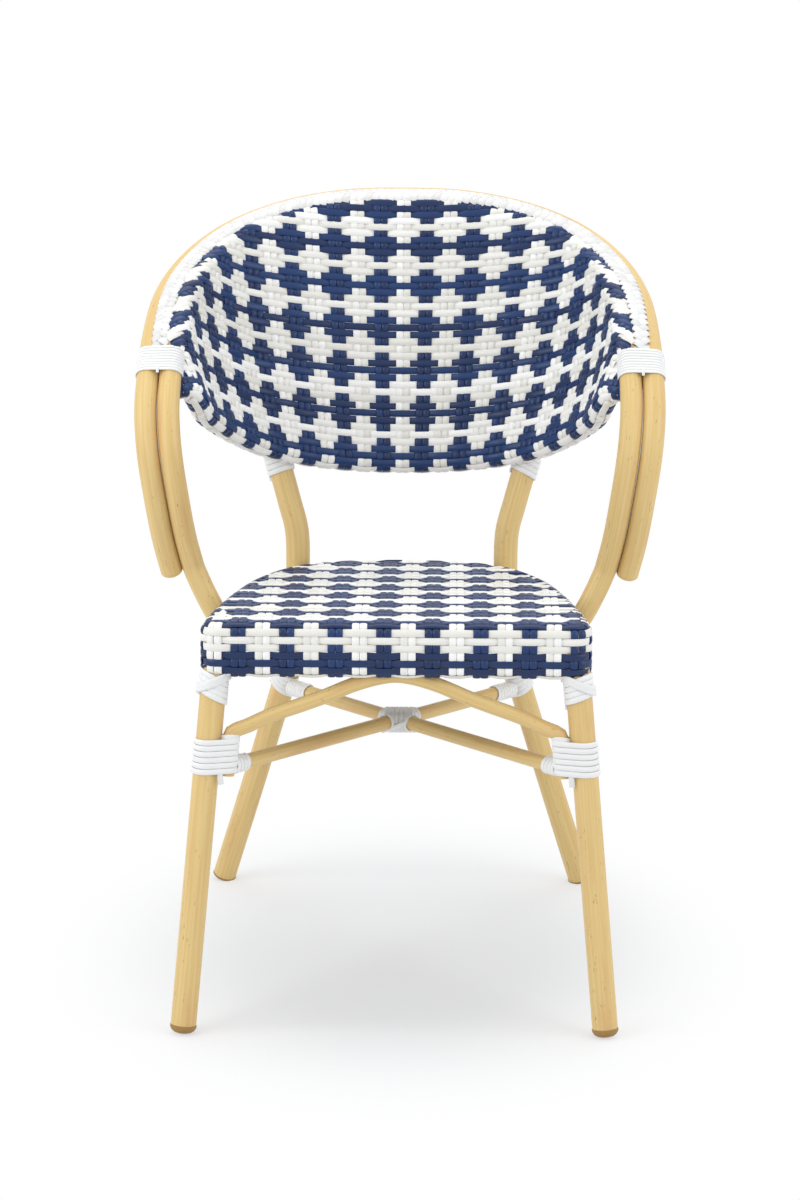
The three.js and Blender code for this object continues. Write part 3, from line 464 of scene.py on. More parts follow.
class Bundle:
    """Rods gathered into one mesh. Each point keeps how far along its rod it lies, how far across
    and how far out, and its rod's own tone."""

    def __init__(self, sides):
        self.sides = sides
        self.whole = bmesh.new()
        self.part = bpy.data.meshes.new("part")
        self.runs = []
        self.tones = []

    def add(self, stops, outline, tone=0.5, swell=None):
        rod = bmesh.new()
        bmesh.ops.create_cone(
            rod, cap_ends=True, segments=self.sides, radius1=1, radius2=1, depth=1)
        uprights = [
            edge for edge in rod.edges if abs(edge.verts[0].co.z - edge.verts[1].co.z) > 0.5]
        bmesh.ops.subdivide_edges(rod, edges=uprights, cuts=len(stops) - 2)
        rings = squared(stops)
        known = {}
        for vert in rod.verts:
            index = round((vert.co.z + 0.5) * (len(stops) - 1))
            place, across, out, travel = rings[index]
            angle = round(math.atan2(vert.co.y, vert.co.x), 4)
            if angle not in known:
                known[angle] = outline(angle)
            size = swell[index] if swell else 1
            wide, thick = (size * part for part in known[angle])
            vert.co = place + across * wide + out * thick
            self.runs += (travel, wide, thick)
            self.tones.append(tone)
        rod.to_mesh(self.part)
        rod.free()
        self.whole.from_mesh(self.part)

    def piece(self, name, material, slot, *nodes, sharp=60):
        mesh = bpy.data.meshes.new(name)
        self.whole.to_mesh(mesh)
        self.whole.free()
        bpy.data.meshes.remove(self.part)
        mesh.attributes.new("run", "FLOAT_VECTOR", "POINT").data.foreach_set("vector", self.runs)
        mesh.attributes.new("tone", "FLOAT", "POINT").data.foreach_set("value", self.tones)
        return finished(name, mesh, material, slot, *nodes, sharp=sharp)


def finished(name, mesh, material, slot, *nodes, sharp=60):
    """The piece that a finished mesh makes, on the chair's one body."""
    mesh.shade_smooth()
    mesh.set_sharp_from_angle(angle=math.radians(sharp))
    piece = bpy.data.objects.new(name, mesh)
    bpy.context.scene.collection.objects.link(piece)
    piece.data.materials.append(material)
    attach(piece, "root")
    if nodes:
        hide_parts(*nodes)
    return piece


def walk(line, start, end, step):
    """Stops along a line whose outer side turns no more than the line makes it."""
    out = UP if abs(line.way(start).z) < STEEP else Vector((1, 0, 0))
    stops = []
    for travel in steps(start, end, step):
        way = line.way(travel)
        out = (out - way * out.dot(way)).normalized()
        stops.append(Stop(line.at(travel), out))
    return stops


# The woven back's sheet: the middle surface that its strands wave about. It starts behind the
# rail, bulges back between rail and hoop, goes over the inner hoop and dives under the braid. At
# the arms it turns on to the hoops. Turns are in degrees.
ROW_PITCH = 0.0084
PAIR_COUNT = 15.3
RAIL_RADIUS = 0.0108
HOOP_RADIUS = 0.0153
BEHIND_TURN = 200
TOP_TURN = 54
ARM_TURN = 112
DIVE_TURN = 40
DIVE_RADIUS = 0.0126
WING_POWER = 8
WING_REACH = 1.13
ARM_EDGE = (1.03, 1.055)
RAIL_END = 0.018
ARM_SINK = 0.0065
ARM_END_LIFT = 0.3
RAIL_STEPS = 14
SHEET_STEPS = 26
HOOP_OVER_STEPS = 12
BACK_COLUMNS = 360
FIRST_ROW = 0.0068


def rail_reach(share):
    """How far along the rail from its middle a column starts: closer together at the arms."""
    reach = RAIL_COVER_SHARE * back_rail.length / 2
    spare = reach * WING_REACH - wing_rail.length / 2
    return reach * share - math.copysign(spare * (abs(share) / WING_REACH) ** WING_POWER, share)


def over_turn(share):
    """How far round the inner hoop the weave goes before it dives under the braid."""
    return math.radians(TOP_TURN + (ARM_TURN - TOP_TURN) * min(share * share, 1))


def back_column(share):
    """Stops up the back at a share of its half width: round the rail, up and over the hoop."""
    here = back_hoop.frame((back_hoop.length + share * back_hoop_length) / 2)
    hoop = here.spot(HOOP_SPACING, 0)
    at_arm = min(max((abs(share) - ARM_EDGE[0]) / (ARM_EDGE[1] - ARM_EDGE[0]), 0), 1)
    hoop_radius = HOOP_RADIUS - ARM_SINK * at_arm
    rail_travel = wing_rail.length / 2 + rail_reach(share)
    rail = wing_rail.at(rail_travel)
    along = wing_rail.way(rail_travel)
    rise = hoop - rail
    rail_up = (rise - along * rise.dot(along)).normalized()
    rail_front = along.cross(rail_up).normalized()
    sheet_angle = math.atan2(-rise.dot(here.above), -rise.dot(here.across)) + math.pi / 2
    stops = []
    for step in range(RAIL_STEPS):
        angle = math.radians(BEHIND_TURN) * (1 - step / RAIL_STEPS)
        out = rail_front * math.cos(angle) - rail_up * math.sin(angle)
        stops.append(Stop(rail + out * RAIL_RADIUS, out))
    low_place = rail + rail_front * RAIL_RADIUS
    high_out = here.across * math.cos(sheet_angle) + here.above * math.sin(sheet_angle)
    high_place = hoop + high_out * hoop_radius
    for step in range(SHEET_STEPS):
        part = step / SHEET_STEPS
        bulge = BACK_BULGE * math.sin(math.pi * part) * rise.length / MIDDLE_RISE
        out = rail_front.lerp(high_out, part).normalized()
        stops.append(Stop(low_place.lerp(high_place, part) - rail_front * bulge, out))
    over = over_turn(share)
    dive = over - math.radians(DIVE_TURN)
    end = over + (sheet_angle + ARM_END_LIFT - over) * at_arm
    for step in range(HOOP_OVER_STEPS + 1):
        angle = sheet_angle + (end - sheet_angle) * step / HOOP_OVER_STEPS
        out = here.across * math.cos(angle) + here.above * math.sin(angle)
        part = max(angle - dive, 0) / (over - dive)
        stops.append(Stop(hoop + out * (hoop_radius + (DIVE_RADIUS - HOOP_RADIUS) * part), out))
    return stops


SHELL_SHARE = 14 / 52
WING_FRAMES = 20
first_frame = round((0.5 - SHELL_SHARE) * HOOP_STEPS) - WING_FRAMES
back_hoop = FrameLine(hoop_frames[first_frame:HOOP_STEPS - first_frame + 1], HOOP_SPACING)
back_hoop_length = back_hoop.lengths[-1 - WING_FRAMES] - back_hoop.lengths[WING_FRAMES]
MIDDLE_RISE = (back_hoop.at(back_hoop.length / 2) - back_rail.at(back_rail.length / 2)).length


class BackSheet:
    """The woven back's middle surface, by share across and length up from the rail's underside."""

    def __init__(self):
        self.columns = []
        for index in range(BACK_COLUMNS + 1):
            stops = back_column(WING_REACH * (2 * index / BACK_COLUMNS - 1))
            line = Line([stop.place for stop in stops])
            bottom = math.radians(BEHIND_TURN - 90) * RAIL_RADIUS
            self.columns.append((line, [stop.out for stop in stops], bottom))

    def height(self, share):
        index = min(max(round((share / WING_REACH + 1) / 2 * BACK_COLUMNS), 0), BACK_COLUMNS)
        line, _, bottom = self.columns[index]
        return line.length - bottom

    def on_column(self, index, height):
        line, outs, bottom = self.columns[index]
        low, part = line.segment(height + bottom)
        return line.fine[low].lerp(line.fine[low + 1], part), outs[low].lerp(outs[low + 1], part)

    def stop(self, share, height):
        whole = (min(max(share / WING_REACH, -1), 1) + 1) / 2 * BACK_COLUMNS
        low = min(int(whole), BACK_COLUMNS - 1)
        left = self.on_column(low, height)
        right = self.on_column(low + 1, height)
        place, out = (a.lerp(b, whole - low) for a, b in zip(left, right))
        return Stop(place, out.normalized())


def waved(base, knots, depth, flatness=0.45):
    """Lifts a strand's stops over and under what it crosses. Base holds (mark, stop) and knots
    hold (mark, half width, sign), where a sign of 1 is over and -1 is under."""
    stops = []
    index = 0
    for mark, stop in base:
        while index < len(knots) - 1 and mark > (knots[index][0] + knots[index + 1][0]) / 2:
            index += 1
        here = knots[index]
        beside = index + 1 if mark > here[0] and index + 1 < len(knots) else max(index - 1, 0)
        other = knots[beside]
        away = abs(mark - here[0]) - flatness * here[1]
        room = abs(other[0] - here[0]) - flatness * (here[1] + other[1])
        part = min(max(away / room, 0), 1) if room > 0 else 0
        share = part * part * (3 - 2 * part)
        lift = here[2] + (other[2] - here[2]) * share
        stops.append(Stop(stop.place + stop.out * (depth * lift), stop.out))
    return stops


# Seat weave: pairs from front to back, rows from side to side, and rings down the side.
WARP_PITCH = 0.02595
PAIRS = 16
WEFT_PITCH = 0.00863
FIRST_WEFT = 0.018
WEFTS = 45
RING_PITCH = 0.00845
FIRST_RING = 0.00475
RINGS = 9
SEAT_RADIUS = 0.0106
FLANGE = 0.010
TUCK = 0.008
WARP_STEP = 0.0021
SEAT_WEFT_STEP = 0.0032
BACK_WEFT_STEP = 0.0034
RING_STEP = 0.0022
TUCK_STEP = 0.002
PAIR_OFFSET = 0.0041
PAIR_HALF = 0.0082
SINGLE_HALF = 0.004
WARP_END_ROOM = 0.003
WEFT_END_ROOM = 0.002
SKIRT_ARC = SEAT_RADIUS * math.pi / 2
SKIRT_LOW = LOWER_RAIL - 0.002
SKIRT_DROP = UPPER_RAIL - SKIRT_LOW
SKIRT_LENGTH = 2 * SKIRT_ARC + SKIRT_DROP
RING_COLOURS = ["navy", "white", "white", "white", "navy", "navy", "navy", "white", "white"]
PANEL_TOP = UPPER_RAIL + SEAT_RADIUS


def skirt_section(length):
    """Reach and height at a length down the seat's side, and the level and upward parts of out."""
    if length < 0:
        return length, PANEL_TOP, 0, 1
    if length < SKIRT_ARC:
        level, up = math.sin(length / SEAT_RADIUS), math.cos(length / SEAT_RADIUS)
        return SEAT_RADIUS * level, UPPER_RAIL + SEAT_RADIUS * up, level, up
    if length < SKIRT_ARC + SKIRT_DROP:
        return SEAT_RADIUS, UPPER_RAIL - (length - SKIRT_ARC), 1, 0
    if length < SKIRT_LENGTH:
        angle = (length - SKIRT_ARC - SKIRT_DROP) / SEAT_RADIUS
        level, up = math.cos(angle), -math.sin(angle)
        return SEAT_RADIUS * level, SKIRT_LOW + SEAT_RADIUS * up, level, up
    return SKIRT_LENGTH - length, SKIRT_LOW - SEAT_RADIUS, 0, -1


def outward_at(share):
    along = seat_outline.tangent(share)
    return Vector((along.y, -along.x, 0))


def skirt_stops(share, lengths):
    place = seat_outline.point(share)
    outward = outward_at(share)
    stops = []
    for length in lengths:
        reach, height, level, up = skirt_section(length)
        stops.append(Stop(lowered(place, height) + outward * reach, outward * level + UP * up))
    return stops


def share_where(measure, value, low, high):
    return bisected(
        lambda share: measure(seat_outline.point(share), outward_at(share)), value, low, high)


def front_share(across):
    """The outline's share at which an upright on the front face has the distance across."""
    share = share_where(
        lambda place, out: place.x + SEAT_RADIUS * out.x, abs(across), *FRONT_PART)
    return share if across >= 0 else 1 - share


def rear_share(across):
    share = share_where(lambda place, out: place.x, abs(across), *REAR_PART)
    return share if across >= 0 else 1 - share


def side_share(place_y):
    return share_where(lambda place, out: place.y, place_y, *SIDE_PART)


def faces_rear(share):
    out = outward_at(share)
    return abs(out.y) >= abs(out.x)


class Upright(NamedTuple):
    """A pair or a single strand on the seat's side: its share of the outline, its half width and
    its number in the order round the seat."""

    share: float
    half: float
    number: int


def pair_across(pair):
    return (pair - (PAIRS - 1) / 2) * WARP_PITCH


def weft_depth(row):
    return SEAT_FRONT + FIRST_WEFT + WEFT_PITCH * row


side_shares = [side_share(weft_depth(row)) for row in range(WEFTS)]
side_rows = [row for row in range(WEFTS) if not faces_rear(side_shares[row])]
panel_across = [seat_outline.point(front_share(pair_across(pair))).x for pair in range(PAIRS)]
rear_shares = [rear_share(across) for across in panel_across]
rear_pairs = [pair for pair in reversed(range(PAIRS)) if faces_rear(rear_shares[pair])]
side_numbers = {row: PAIRS + order for order, row in enumerate(side_rows)}
rear_numbers = {pair: PAIRS + len(side_rows) + order for order, pair in enumerate(rear_pairs)}
seat_uprights = sorted(
    [Upright(front_share(pair_across(pair)), PAIR_HALF, pair) for pair in range(PAIRS)]
    + [Upright(rear_shares[pair], PAIR_HALF, rear_numbers[pair]) for pair in rear_pairs]
    + [Upright(side_shares[row], SINGLE_HALF, side_numbers[row]) for row in side_rows]
    + [Upright(1 - side_shares[row], SINGLE_HALF, PAIRS - 1 - side_numbers[row])
       for row in side_rows]
)


def ring_length(ring):
    return FIRST_RING + RING_PITCH * ring


def over(number, row):
    return 1 if (number + row) % 2 == 0 else -1


def skirt_run(share, number, downward):
    """Marks, stops and knots of an upright's run over the seat's side, from or to the panel."""
    lengths = steps(0, SKIRT_LENGTH + FLANGE, WARP_STEP)
    base = list(zip(lengths, skirt_stops(share, lengths)))
    knots = [(ring_length(ring), SINGLE_HALF, over(number, ring)) for ring in range(RINGS)]
    if downward:
        return base, knots
    end = SKIRT_LENGTH + FLANGE
    return ([(end - mark, stop) for mark, stop in reversed(base)],
            [(end - mark, half, sign) for mark, half, sign in reversed(knots)])


def joined(*runs):
    """One run from several that follow each other."""
    base, knots = [], []
    shift = 0.0
    for marks, crossings in runs:
        base += [(mark + shift, stop) for mark, stop in marks if not base or mark > 0]
        knots += [(mark + shift, half, sign) for mark, half, sign in crossings]
        shift += marks[-1][0]
    return base, knots


def panel_stop(across, depth):
    return Stop(lowered(Vector((across, depth, 0)), PANEL_TOP), UP)


def edge_run(share):
    """A short run that tucks a strand under the seat's edge."""
    lengths = steps(0, TUCK, TUCK_STEP)
    return list(zip(lengths, skirt_stops(share, lengths))), [(TUCK, SINGLE_HALF, -1)]


def seat_warp(pair, offset):
    start = front_share(pair_across(pair) + offset)
    place = seat_outline.point(start)
    end = rear_share(place.x)
    depth = seat_outline.point(end).y
    marks = steps(0, depth - place.y, WARP_STEP)
    base = [(mark, panel_stop(place.x, place.y + mark)) for mark in marks]
    knots = [(weft_depth(row) - place.y, SINGLE_HALF, -over(pair, row)) for row in range(WEFTS)
             if weft_depth(row) < depth - WARP_END_ROOM]
    tail = skirt_run(end, rear_numbers[pair], True) if pair in rear_numbers else edge_run(end)
    return joined(skirt_run(start, pair, False), (base, knots), tail)


def seat_weft(row):
    share = side_shares[row]
    reach = seat_outline.point(share).x
    marks = steps(0, 2 * reach, SEAT_WEFT_STEP)
    base = [(mark, panel_stop(mark - reach, weft_depth(row))) for mark in marks]
    knots = [(across + reach, PAIR_HALF, over(pair, row))
             for pair, across in enumerate(panel_across) if abs(across) < reach - WEFT_END_ROOM]
    if row in side_numbers:
        number = side_numbers[row]
        before = skirt_run(1 - share, PAIRS - 1 - number, False)
        after = skirt_run(share, number, True)
    else:
        after = edge_run(share)
        left, _ = edge_run(1 - share)
        before = ([(TUCK - mark, stop) for mark, stop in reversed(left)], [(0, SINGLE_HALF, -1)])
    return joined(before, (base, knots), after)


def seat_ring(ring):
    """A ring round the seat's side that starts and ends behind."""
    length = seat_outline.length
    travels = steps(0, length, RING_STEP)
    fine = seat_outline.lengths
    count = len(fine) - 1

    def share_of(travel):
        return sum(seat_outline.segment(travel)) / count

    def travel_of(share):
        low = min(int(share * count), count - 1)
        return fine[low] + (share * count - low) * (fine[low + 1] - fine[low])

    half = length / 2
    base = [(travel, skirt_stops(share_of((travel + half) % length), [ring_length(ring)])[0])
            for travel in travels]
    knots = sorted(((travel_of(one.share) + half) % length, one.half, -over(one.number, ring))
                   for one in seat_uprights)
    return base, knots


# Back weave: pairs up the back and rows along it.
BACK_PAIRS = 17
FIRST_BACK_ROW = -2
BACK_ROWS = 44
FIRST_TIGHT_ROW = 20
TIGHTER = 0.0122 / 18 ** 2  # 12.2 mm are lost in the 18 rows above it

# A row reaches as far as the sheet is high enough, by shares of the half width. Full rows dive
# under at their ends, by so many times the wave's height.
ROW_REACH = 1.125
ROW_LEAST_REACH = 0.05
ROW_TRIM = 0.004
ROW_SPARE = 0.02
ROW_END_DIVE = -2.5
LEAST_STRETCH = 0.1


def back_pair(number):
    return number / PAIR_COUNT


def back_row(row):
    """The height of a row up the sheet. The upper rows are packed closer."""
    return FIRST_ROW + ROW_PITCH * row - TIGHTER * max(row - FIRST_TIGHT_ROW, 0) ** 2


def back_stretch(sheet, share, height, reach=0.01):
    """Metres along the sheet for each unit of share."""
    left = sheet.stop(share - reach, height).place
    right = sheet.stop(share + reach, height).place
    return max((right - left).length / (2 * reach), LEAST_STRETCH)


def back_warp(sheet, pair, side):
    share = back_pair(pair)
    top = sheet.height(share)
    bottom = -math.radians(BEHIND_TURN - 90) * RAIL_RADIUS
    base = []
    for height in steps(bottom, top, WARP_STEP):
        shift = side * PAIR_OFFSET / back_stretch(sheet, share, height)
        base.append((height, sheet.stop(share + shift, height)))
    knots = [(back_row(row), SINGLE_HALF, -over(pair, row))
             for row in range(FIRST_BACK_ROW, BACK_ROWS) if back_row(row) < top]
    return base, knots


def back_weft(sheet, row):
    """A row along the back, in one run or none, as far out as the sheet is high enough."""
    height = back_row(row)
    reach = ROW_REACH
    while reach > ROW_LEAST_REACH and sheet.height(reach) < height:
        reach -= ROW_TRIM
    if sheet.height(0) < height:
        return None
    count = math.ceil(reach * back_hoop_length / BACK_WEFT_STEP)
    base = []
    for index in range(count + 1):
        share = reach * (2 * index / count - 1)
        base.append((share, sheet.stop(share, height)))
    half = PAIR_HALF / (back_hoop_length / 2)
    knots = [(back_pair(pair), half, over(pair, row)) for pair in range(-BACK_PAIRS, BACK_PAIRS + 1)
             if abs(back_pair(pair)) <= reach + ROW_SPARE]
    if reach == ROW_REACH:
        knots = [(-ROW_REACH, 0, ROW_END_DIVE), *knots, (ROW_REACH, 0, ROW_END_DIVE)]
    return base, knots


# Braid: short strips slanted from each edge down into the middle.
BRAID_PITCH = 0.009
BRAID_SLANT = 0.0034
BRAID_OVERRUN = 0.026
BRAID_SINK = 0.0045
BRAID_START = Vector((0.0045, 0.0125))
BRAID_BED = 0.0147
BRAID_LAP = 7
BRAID_THICKNESS = 0.0024
BRAID_LEAN_START = 0.6
BRAID_LEAN = 0.9
BRAID_RISE = [
    (1.0, -0.0010), (0.92, 0.0004), (0.64, 0.0014), (0.3, 0.0015), (0.02, 0.0007), (-0.2, -0.0016),
]
SHELL_STEP = round((0.5 + SHELL_SHARE) * HOOP_STEPS)
SHELL_REACH = outer_hoop.lengths[SHELL_STEP] - outer_hoop.length / 2


def braid_spot(here, edge, part, rise):
    """A stop across the braid: part 0 is on the outer hoop and part 1 at an angle on the inner."""
    corner = max(edge, math.pi / 2)
    flat_end = Vector((HOOP_SPACING + BRAID_BED * math.cos(corner), BRAID_BED * math.sin(corner)))
    flat = (flat_end - BRAID_START).length
    travel = part * (flat + (corner - edge) * BRAID_BED)
    if travel < flat:
        place, out = BRAID_START.lerp(flat_end, travel / flat), Vector((0, 1))
    else:
        angle = corner - (travel - flat) / BRAID_BED
        out = Vector((math.cos(angle), math.sin(angle)))
        place = Vector((HOOP_SPACING, 0)) + out * BRAID_BED
    place += out * rise
    return Stop(here.spot(*place), here.across * out.x + here.above * out.y)


def braid_strip(travel, side, sink):
    edge = over_turn((travel - outer_hoop.length / 2) / SHELL_REACH) - math.radians(BRAID_LAP)
    stops = []
    for share, rise in BRAID_RISE:
        here = outer_hoop.frame(travel + BRAID_SLANT * (1 - 2 * share))
        stop = braid_spot(here, edge, (1 + side * share) / 2, rise - sink)
        lean = here.across * (side * max(share - BRAID_LEAN_START, 0) * BRAID_LEAN)
        stops.append(Stop(stop.place, (stop.out + lean).normalized()))
    return stops


# Windings: one strip wound round a tube, or round two tubes side by side.
LEVEL_PART = 0.75


def belt(radii, spacing, count=14):
    """The outline round one tube or two: place across and above, and the way out of each spot."""
    if len(radii) == 1:
        angles = [2 * math.pi * (step + 0.5) / (2 * count) for step in range(2 * count)]
        return [(radii[0] * math.cos(angle), radii[0] * math.sin(angle), angle) for angle in angles]
    first, second = radii
    lean = math.acos((first - second) / spacing)
    spots = []
    for angle in steps(-lean, lean, 2 * lean / count):
        spots.append((spacing + second * math.cos(angle), second * math.sin(angle), angle))
    for angle in steps(lean, 2 * math.pi - lean, 2 * (math.pi - lean) / count):
        spots.append((first * math.cos(angle), first * math.sin(angle), angle))
    return spots


def wound(frame_at, radii, spacing, turns, pitch, thickness, slope=0.0):
    """Stops of a strip that climbs a pitch in each turn, centred on the frame's own place. Round
    two tubes it lies level and climbs behind them. A slope tilts the turns: it is the travel along
    the tube for each metre across it."""
    spots = belt([radius + CLEARANCE + thickness / 2 for radius in radii], spacing)
    level = LEVEL_PART if len(radii) == 2 else 0
    first = (0.5 if level else 0) - turns / 2
    stops = []
    for index in range(round(turns * len(spots)) + 1):
        whole, step = divmod(index, len(spots))
        across, rise, angle = spots[step]
        climb = max(step / len(spots) - level, 0) / (1 - level)
        here = frame_at(pitch * (whole + climb + first) + slope * across)
        out = here.across * math.cos(angle) + here.above * math.sin(angle)
        stops.append(Stop(here.spot(across, rise), out))
    return stops


def tube_frame(line, travel):
    """A frame on a tube whose across is level."""
    along = line.way(travel)
    across = along.cross(Vector((0, 1, 0)) if abs(along.y) < STEEP else UP).normalized()
    return Frame(line.at(travel), across, across.cross(along).normalized(), along)


# Materials. The rods' own patterns are stretched by figures per metre, so 420 makes fibres about
# 2.4 mm wide.
BAMBOO = "Bamboo-look powder coat on aluminium"
SMOOTH = {"interpolation_type": "SMOOTHSTEP"}
COLOUR_MIX = {"output": 2, "data_type": "RGBA"}  # its inputs are 0 the share, 6 and 7 the colours


def linear(code):
    """A colour picked as sRGB hex, in the linear values that shaders take."""
    channels = [int(code[index:index + 2], 16) / 255 for index in (1, 3, 5)]
    return (*(value / 12.92 if value <= 0.04045 else ((value + 0.055) / 1.055) ** 2.4
              for value in channels), 1.0)


def add_node(holder, kind, inputs=None, output=0, **settings):
    """Adds a node with its settings and its inputs' values or links, and gives one output."""
    tree = holder.node_tree
    node = tree.nodes.new(kind)
    for key, value in settings.items():
        setattr(node, key, value)
    for key, value in (inputs or {}).items():
        if isinstance(value, bpy.types.NodeSocket):
            tree.links.new(value, node.inputs[key])
        else:
            node.inputs[key].default_value = value
    return node.outputs[output] if len(node.outputs) else None


def emptied(holder):
    """A new material or world without the nodes that it starts with."""
    holder.use_nodes = True
    holder.node_tree.nodes.clear()
    return holder


def coated(material, inputs):
    shader = add_node(material, "ShaderNodeBsdfPrincipled", inputs)
    add_node(material, "ShaderNodeOutputMaterial", {"Surface": shader})


def rod_pattern(material, scale, detail, spread=37.0):
    """A pattern that runs along each rod, moved by the rod's own tone so that no two repeat."""
    run = add_node(material, "ShaderNodeAttribute", output="Vector", attribute_name="run")
    tone = add_node(material, "ShaderNodeAttribute", output="Fac", attribute_name="tone")
    run = add_node(material, "ShaderNodeVectorMath", {0: run, 1: scale}, operation="MULTIPLY")
    shift = add_node(material, "ShaderNodeMath", {0: tone, 1: spread}, operation="MULTIPLY")
    place = add_node(material, "ShaderNodeVectorMath", {0: run, 1: shift}, operation="ADD")
    return add_node(material, "ShaderNodeTexNoise", {
        "Vector": place, "Scale": 1.0, "Detail": detail, "Roughness": 0.5})


def bamboo_coat(colours):
    """Powder-coated aluminium tube with a bamboo look: satin tan with long fibres, a pinkish
    tinge here and there and short dark pores."""
    material = emptied(bpy.data.materials.new(BAMBOO))
    fibres = rod_pattern(material, (7, 420, 420), 3)
    tinge = rod_pattern(material, (9, 60, 60), 2, 11.0)
    pores = rod_pattern(material, (130, 900, 900), 1, 53.0)
    patches = rod_pattern(material, (22, 130, 130), 1, 71.0)
    grain = add_node(material, "ShaderNodeMapRange", {
        "Value": fibres, "From Min": 0.3, "From Max": 0.7, "To Min": 0.2, "To Max": 0.8}, **SMOOTH)
    base = add_node(material, "ShaderNodeMix", {
        0: grain, 6: colours.bamboo_light, 7: colours.bamboo}, **COLOUR_MIX)
    tinge = add_node(material, "ShaderNodeMapRange", {
        "Value": tinge, "From Min": 0.52, "From Max": 0.72, "To Max": 0.45}, **SMOOTH)
    base = add_node(material, "ShaderNodeMix", {
        0: tinge, 6: base, 7: linear("#CFA06C")}, **COLOUR_MIX)
    pores = add_node(material, "ShaderNodeMapRange", {
        "Value": pores, "From Min": 0.685, "From Max": 0.72}, **SMOOTH)
    patches = add_node(material, "ShaderNodeMapRange", {
        "Value": patches, "From Min": 0.5, "From Max": 0.6, "To Max": 0.6}, **SMOOTH)
    pores = add_node(material, "ShaderNodeMath", {0: pores, 1: patches}, operation="MULTIPLY")
    base = add_node(material, "ShaderNodeMix", {
        0: pores, 6: base, 7: linear("#5E5138")}, **COLOUR_MIX)
    bump = add_node(material, "ShaderNodeBump", {
        "Strength": 0.05, "Distance": 0.0003, "Height": fibres})
    coated(material, {
        "Base Color": base, "Roughness": 0.42, "Specular IOR Level": 0.35, "Normal": bump})


def polyethylene(name, colour, deep, roughness, ribs=0.35, glow=0.0):
    """Extruded polyethylene strand: a soft plastic sheen, fine ribs along it and small
    differences in tone from strand to strand."""
    material = emptied(bpy.data.materials.new(name))
    tone = add_node(material, "ShaderNodeAttribute", output="Fac", attribute_name="tone")
    streaks = rod_pattern(material, (25, 1100, 300), 2)
    shade = add_node(material, "ShaderNodeMath", {0: tone, 1: streaks}, operation="ADD")
    shade = add_node(material, "ShaderNodeMapRange", {
        "Value": shade, "From Min": 0.55, "From Max": 1.45}, **SMOOTH)
    base = add_node(material, "ShaderNodeMix", {0: shade, 6: colour, 7: deep}, **COLOUR_MIX)
    bump = add_node(material, "ShaderNodeBump", {
        "Strength": ribs, "Distance": 0.0003, "Height": streaks})
    coated(material, {
        "Base Color": base, "Roughness": roughness, "Specular IOR Level": 0.4, "Normal": bump,
        "Subsurface Weight": glow, "Subsurface Radius": (0.0015, 0.0014, 0.0012),
    })


def brown_plastic(colours):
    """Moulded brown plastic of the foot caps: matt, with a grain of about a millimetre."""
    material = emptied(bpy.data.materials.new("Moulded brown plastic"))
    place = add_node(material, "ShaderNodeTexCoord", output="Object")
    grain = add_node(material, "ShaderNodeTexNoise", {
        "Vector": place, "Scale": 900.0, "Detail": 2.0})
    base = add_node(material, "ShaderNodeMix", {
        0: grain, 6: colours.cap, 7: linear("#8F6D39")}, **COLOUR_MIX)
    coated(material, {"Base Color": base, "Roughness": 0.55})


# Pieces.
TUBE_STEP = 0.006
TUBE_SIDES = 28
HOOP_SIDES = 32
POST_SIDES = 20
STRAND_SIDES = 8
STRIP_SIDES = 10


def tube_piece(line, diameter, name, spare=0.0, tone=0.5, sides=TUBE_SIDES):
    """A tube along a line, short of both its ends by what is to spare."""
    bundle = Bundle(sides)
    bundle.add(walk(line, spare, line.length - spare, TUBE_STEP), round_bar(diameter), tone)
    bundle.piece(f"{name}_tube", bpy.data.materials[BAMBOO], "bamboo_coat", name)


def seat_loop(height):
    return Line([lowered(place, height) for place in seat_outline.fine])


def mirror_line(line, side):
    return Line([on_side(place, side) for place in line.fine])


def build_tubes(tubes):
    chance = random.Random(7)
    leg, arm, rail = tubes.leg, tubes.arm, tubes.rail
    tube_piece(seat_loop(UPPER_RAIL), rail, "seat_upper_rail", tone=chance.random())
    tube_piece(seat_loop(LOWER_RAIL), rail, "seat_lower_rail", tone=chance.random())
    tube_piece(outer_hoop, arm, "outer_hoop", tone=0.2, sides=HOOP_SIDES)
    tube_piece(inner_line, arm, "inner_hoop", tone=0.7, sides=HOOP_SIDES)
    tube_piece(wing_rail, rail, "back_lower_rail", RAIL_END, tone=0.4)
    tube_piece(arch_line, rail, "front_arch", tone=chance.random())
    tube_piece(whole_bar, rail, "stretcher_whole", tone=chance.random())
    tube_piece(Line([bar_front, crossing]), rail, "stretcher_half_front", tone=chance.random())
    half_end = on_side(bar_rear, -1)
    tube_piece(Line([crossing, half_end]), rail, "stretcher_half_rear", tone=chance.random())
    for name, side in SIDES.items():
        foot = on_side(front_leg_at(CAP_HEIGHT - CAP_OVERLAP), side)
        top = on_side(front_leg_at(LOWER_RAIL - LEG_TOP_DROP), side)
        tube_piece(Line([foot, top]), leg, f"front_leg_{name}", tone=chance.random())
        tube_piece(mirror_line(rear_line, side), leg, f"rear_leg_{name}", tone=chance.random())
        for end, share in POST_SHARES.items():
            low = on_side(seat_rail_at(seat_depth_at(share), LOWER_RAIL)[0], side)
            high = on_side(seat_rail_at(seat_depth_at(share), UPPER_RAIL)[0], side)
            post = f"seat_post_{end}_{name}"
            tube_piece(Line([low, high]), tubes.post, post, sides=POST_SIDES)
    for end, share in BAR_SHARES.items():
        right = seat_rail_at(seat_depth_at(share), LOWER_RAIL)[0]
        tube_piece(Line([on_side(right, -1), right]), rail, f"seat_bar_{end}", tone=chance.random())


TURNED_SIDES = 32
TURNED_SHARP = 35


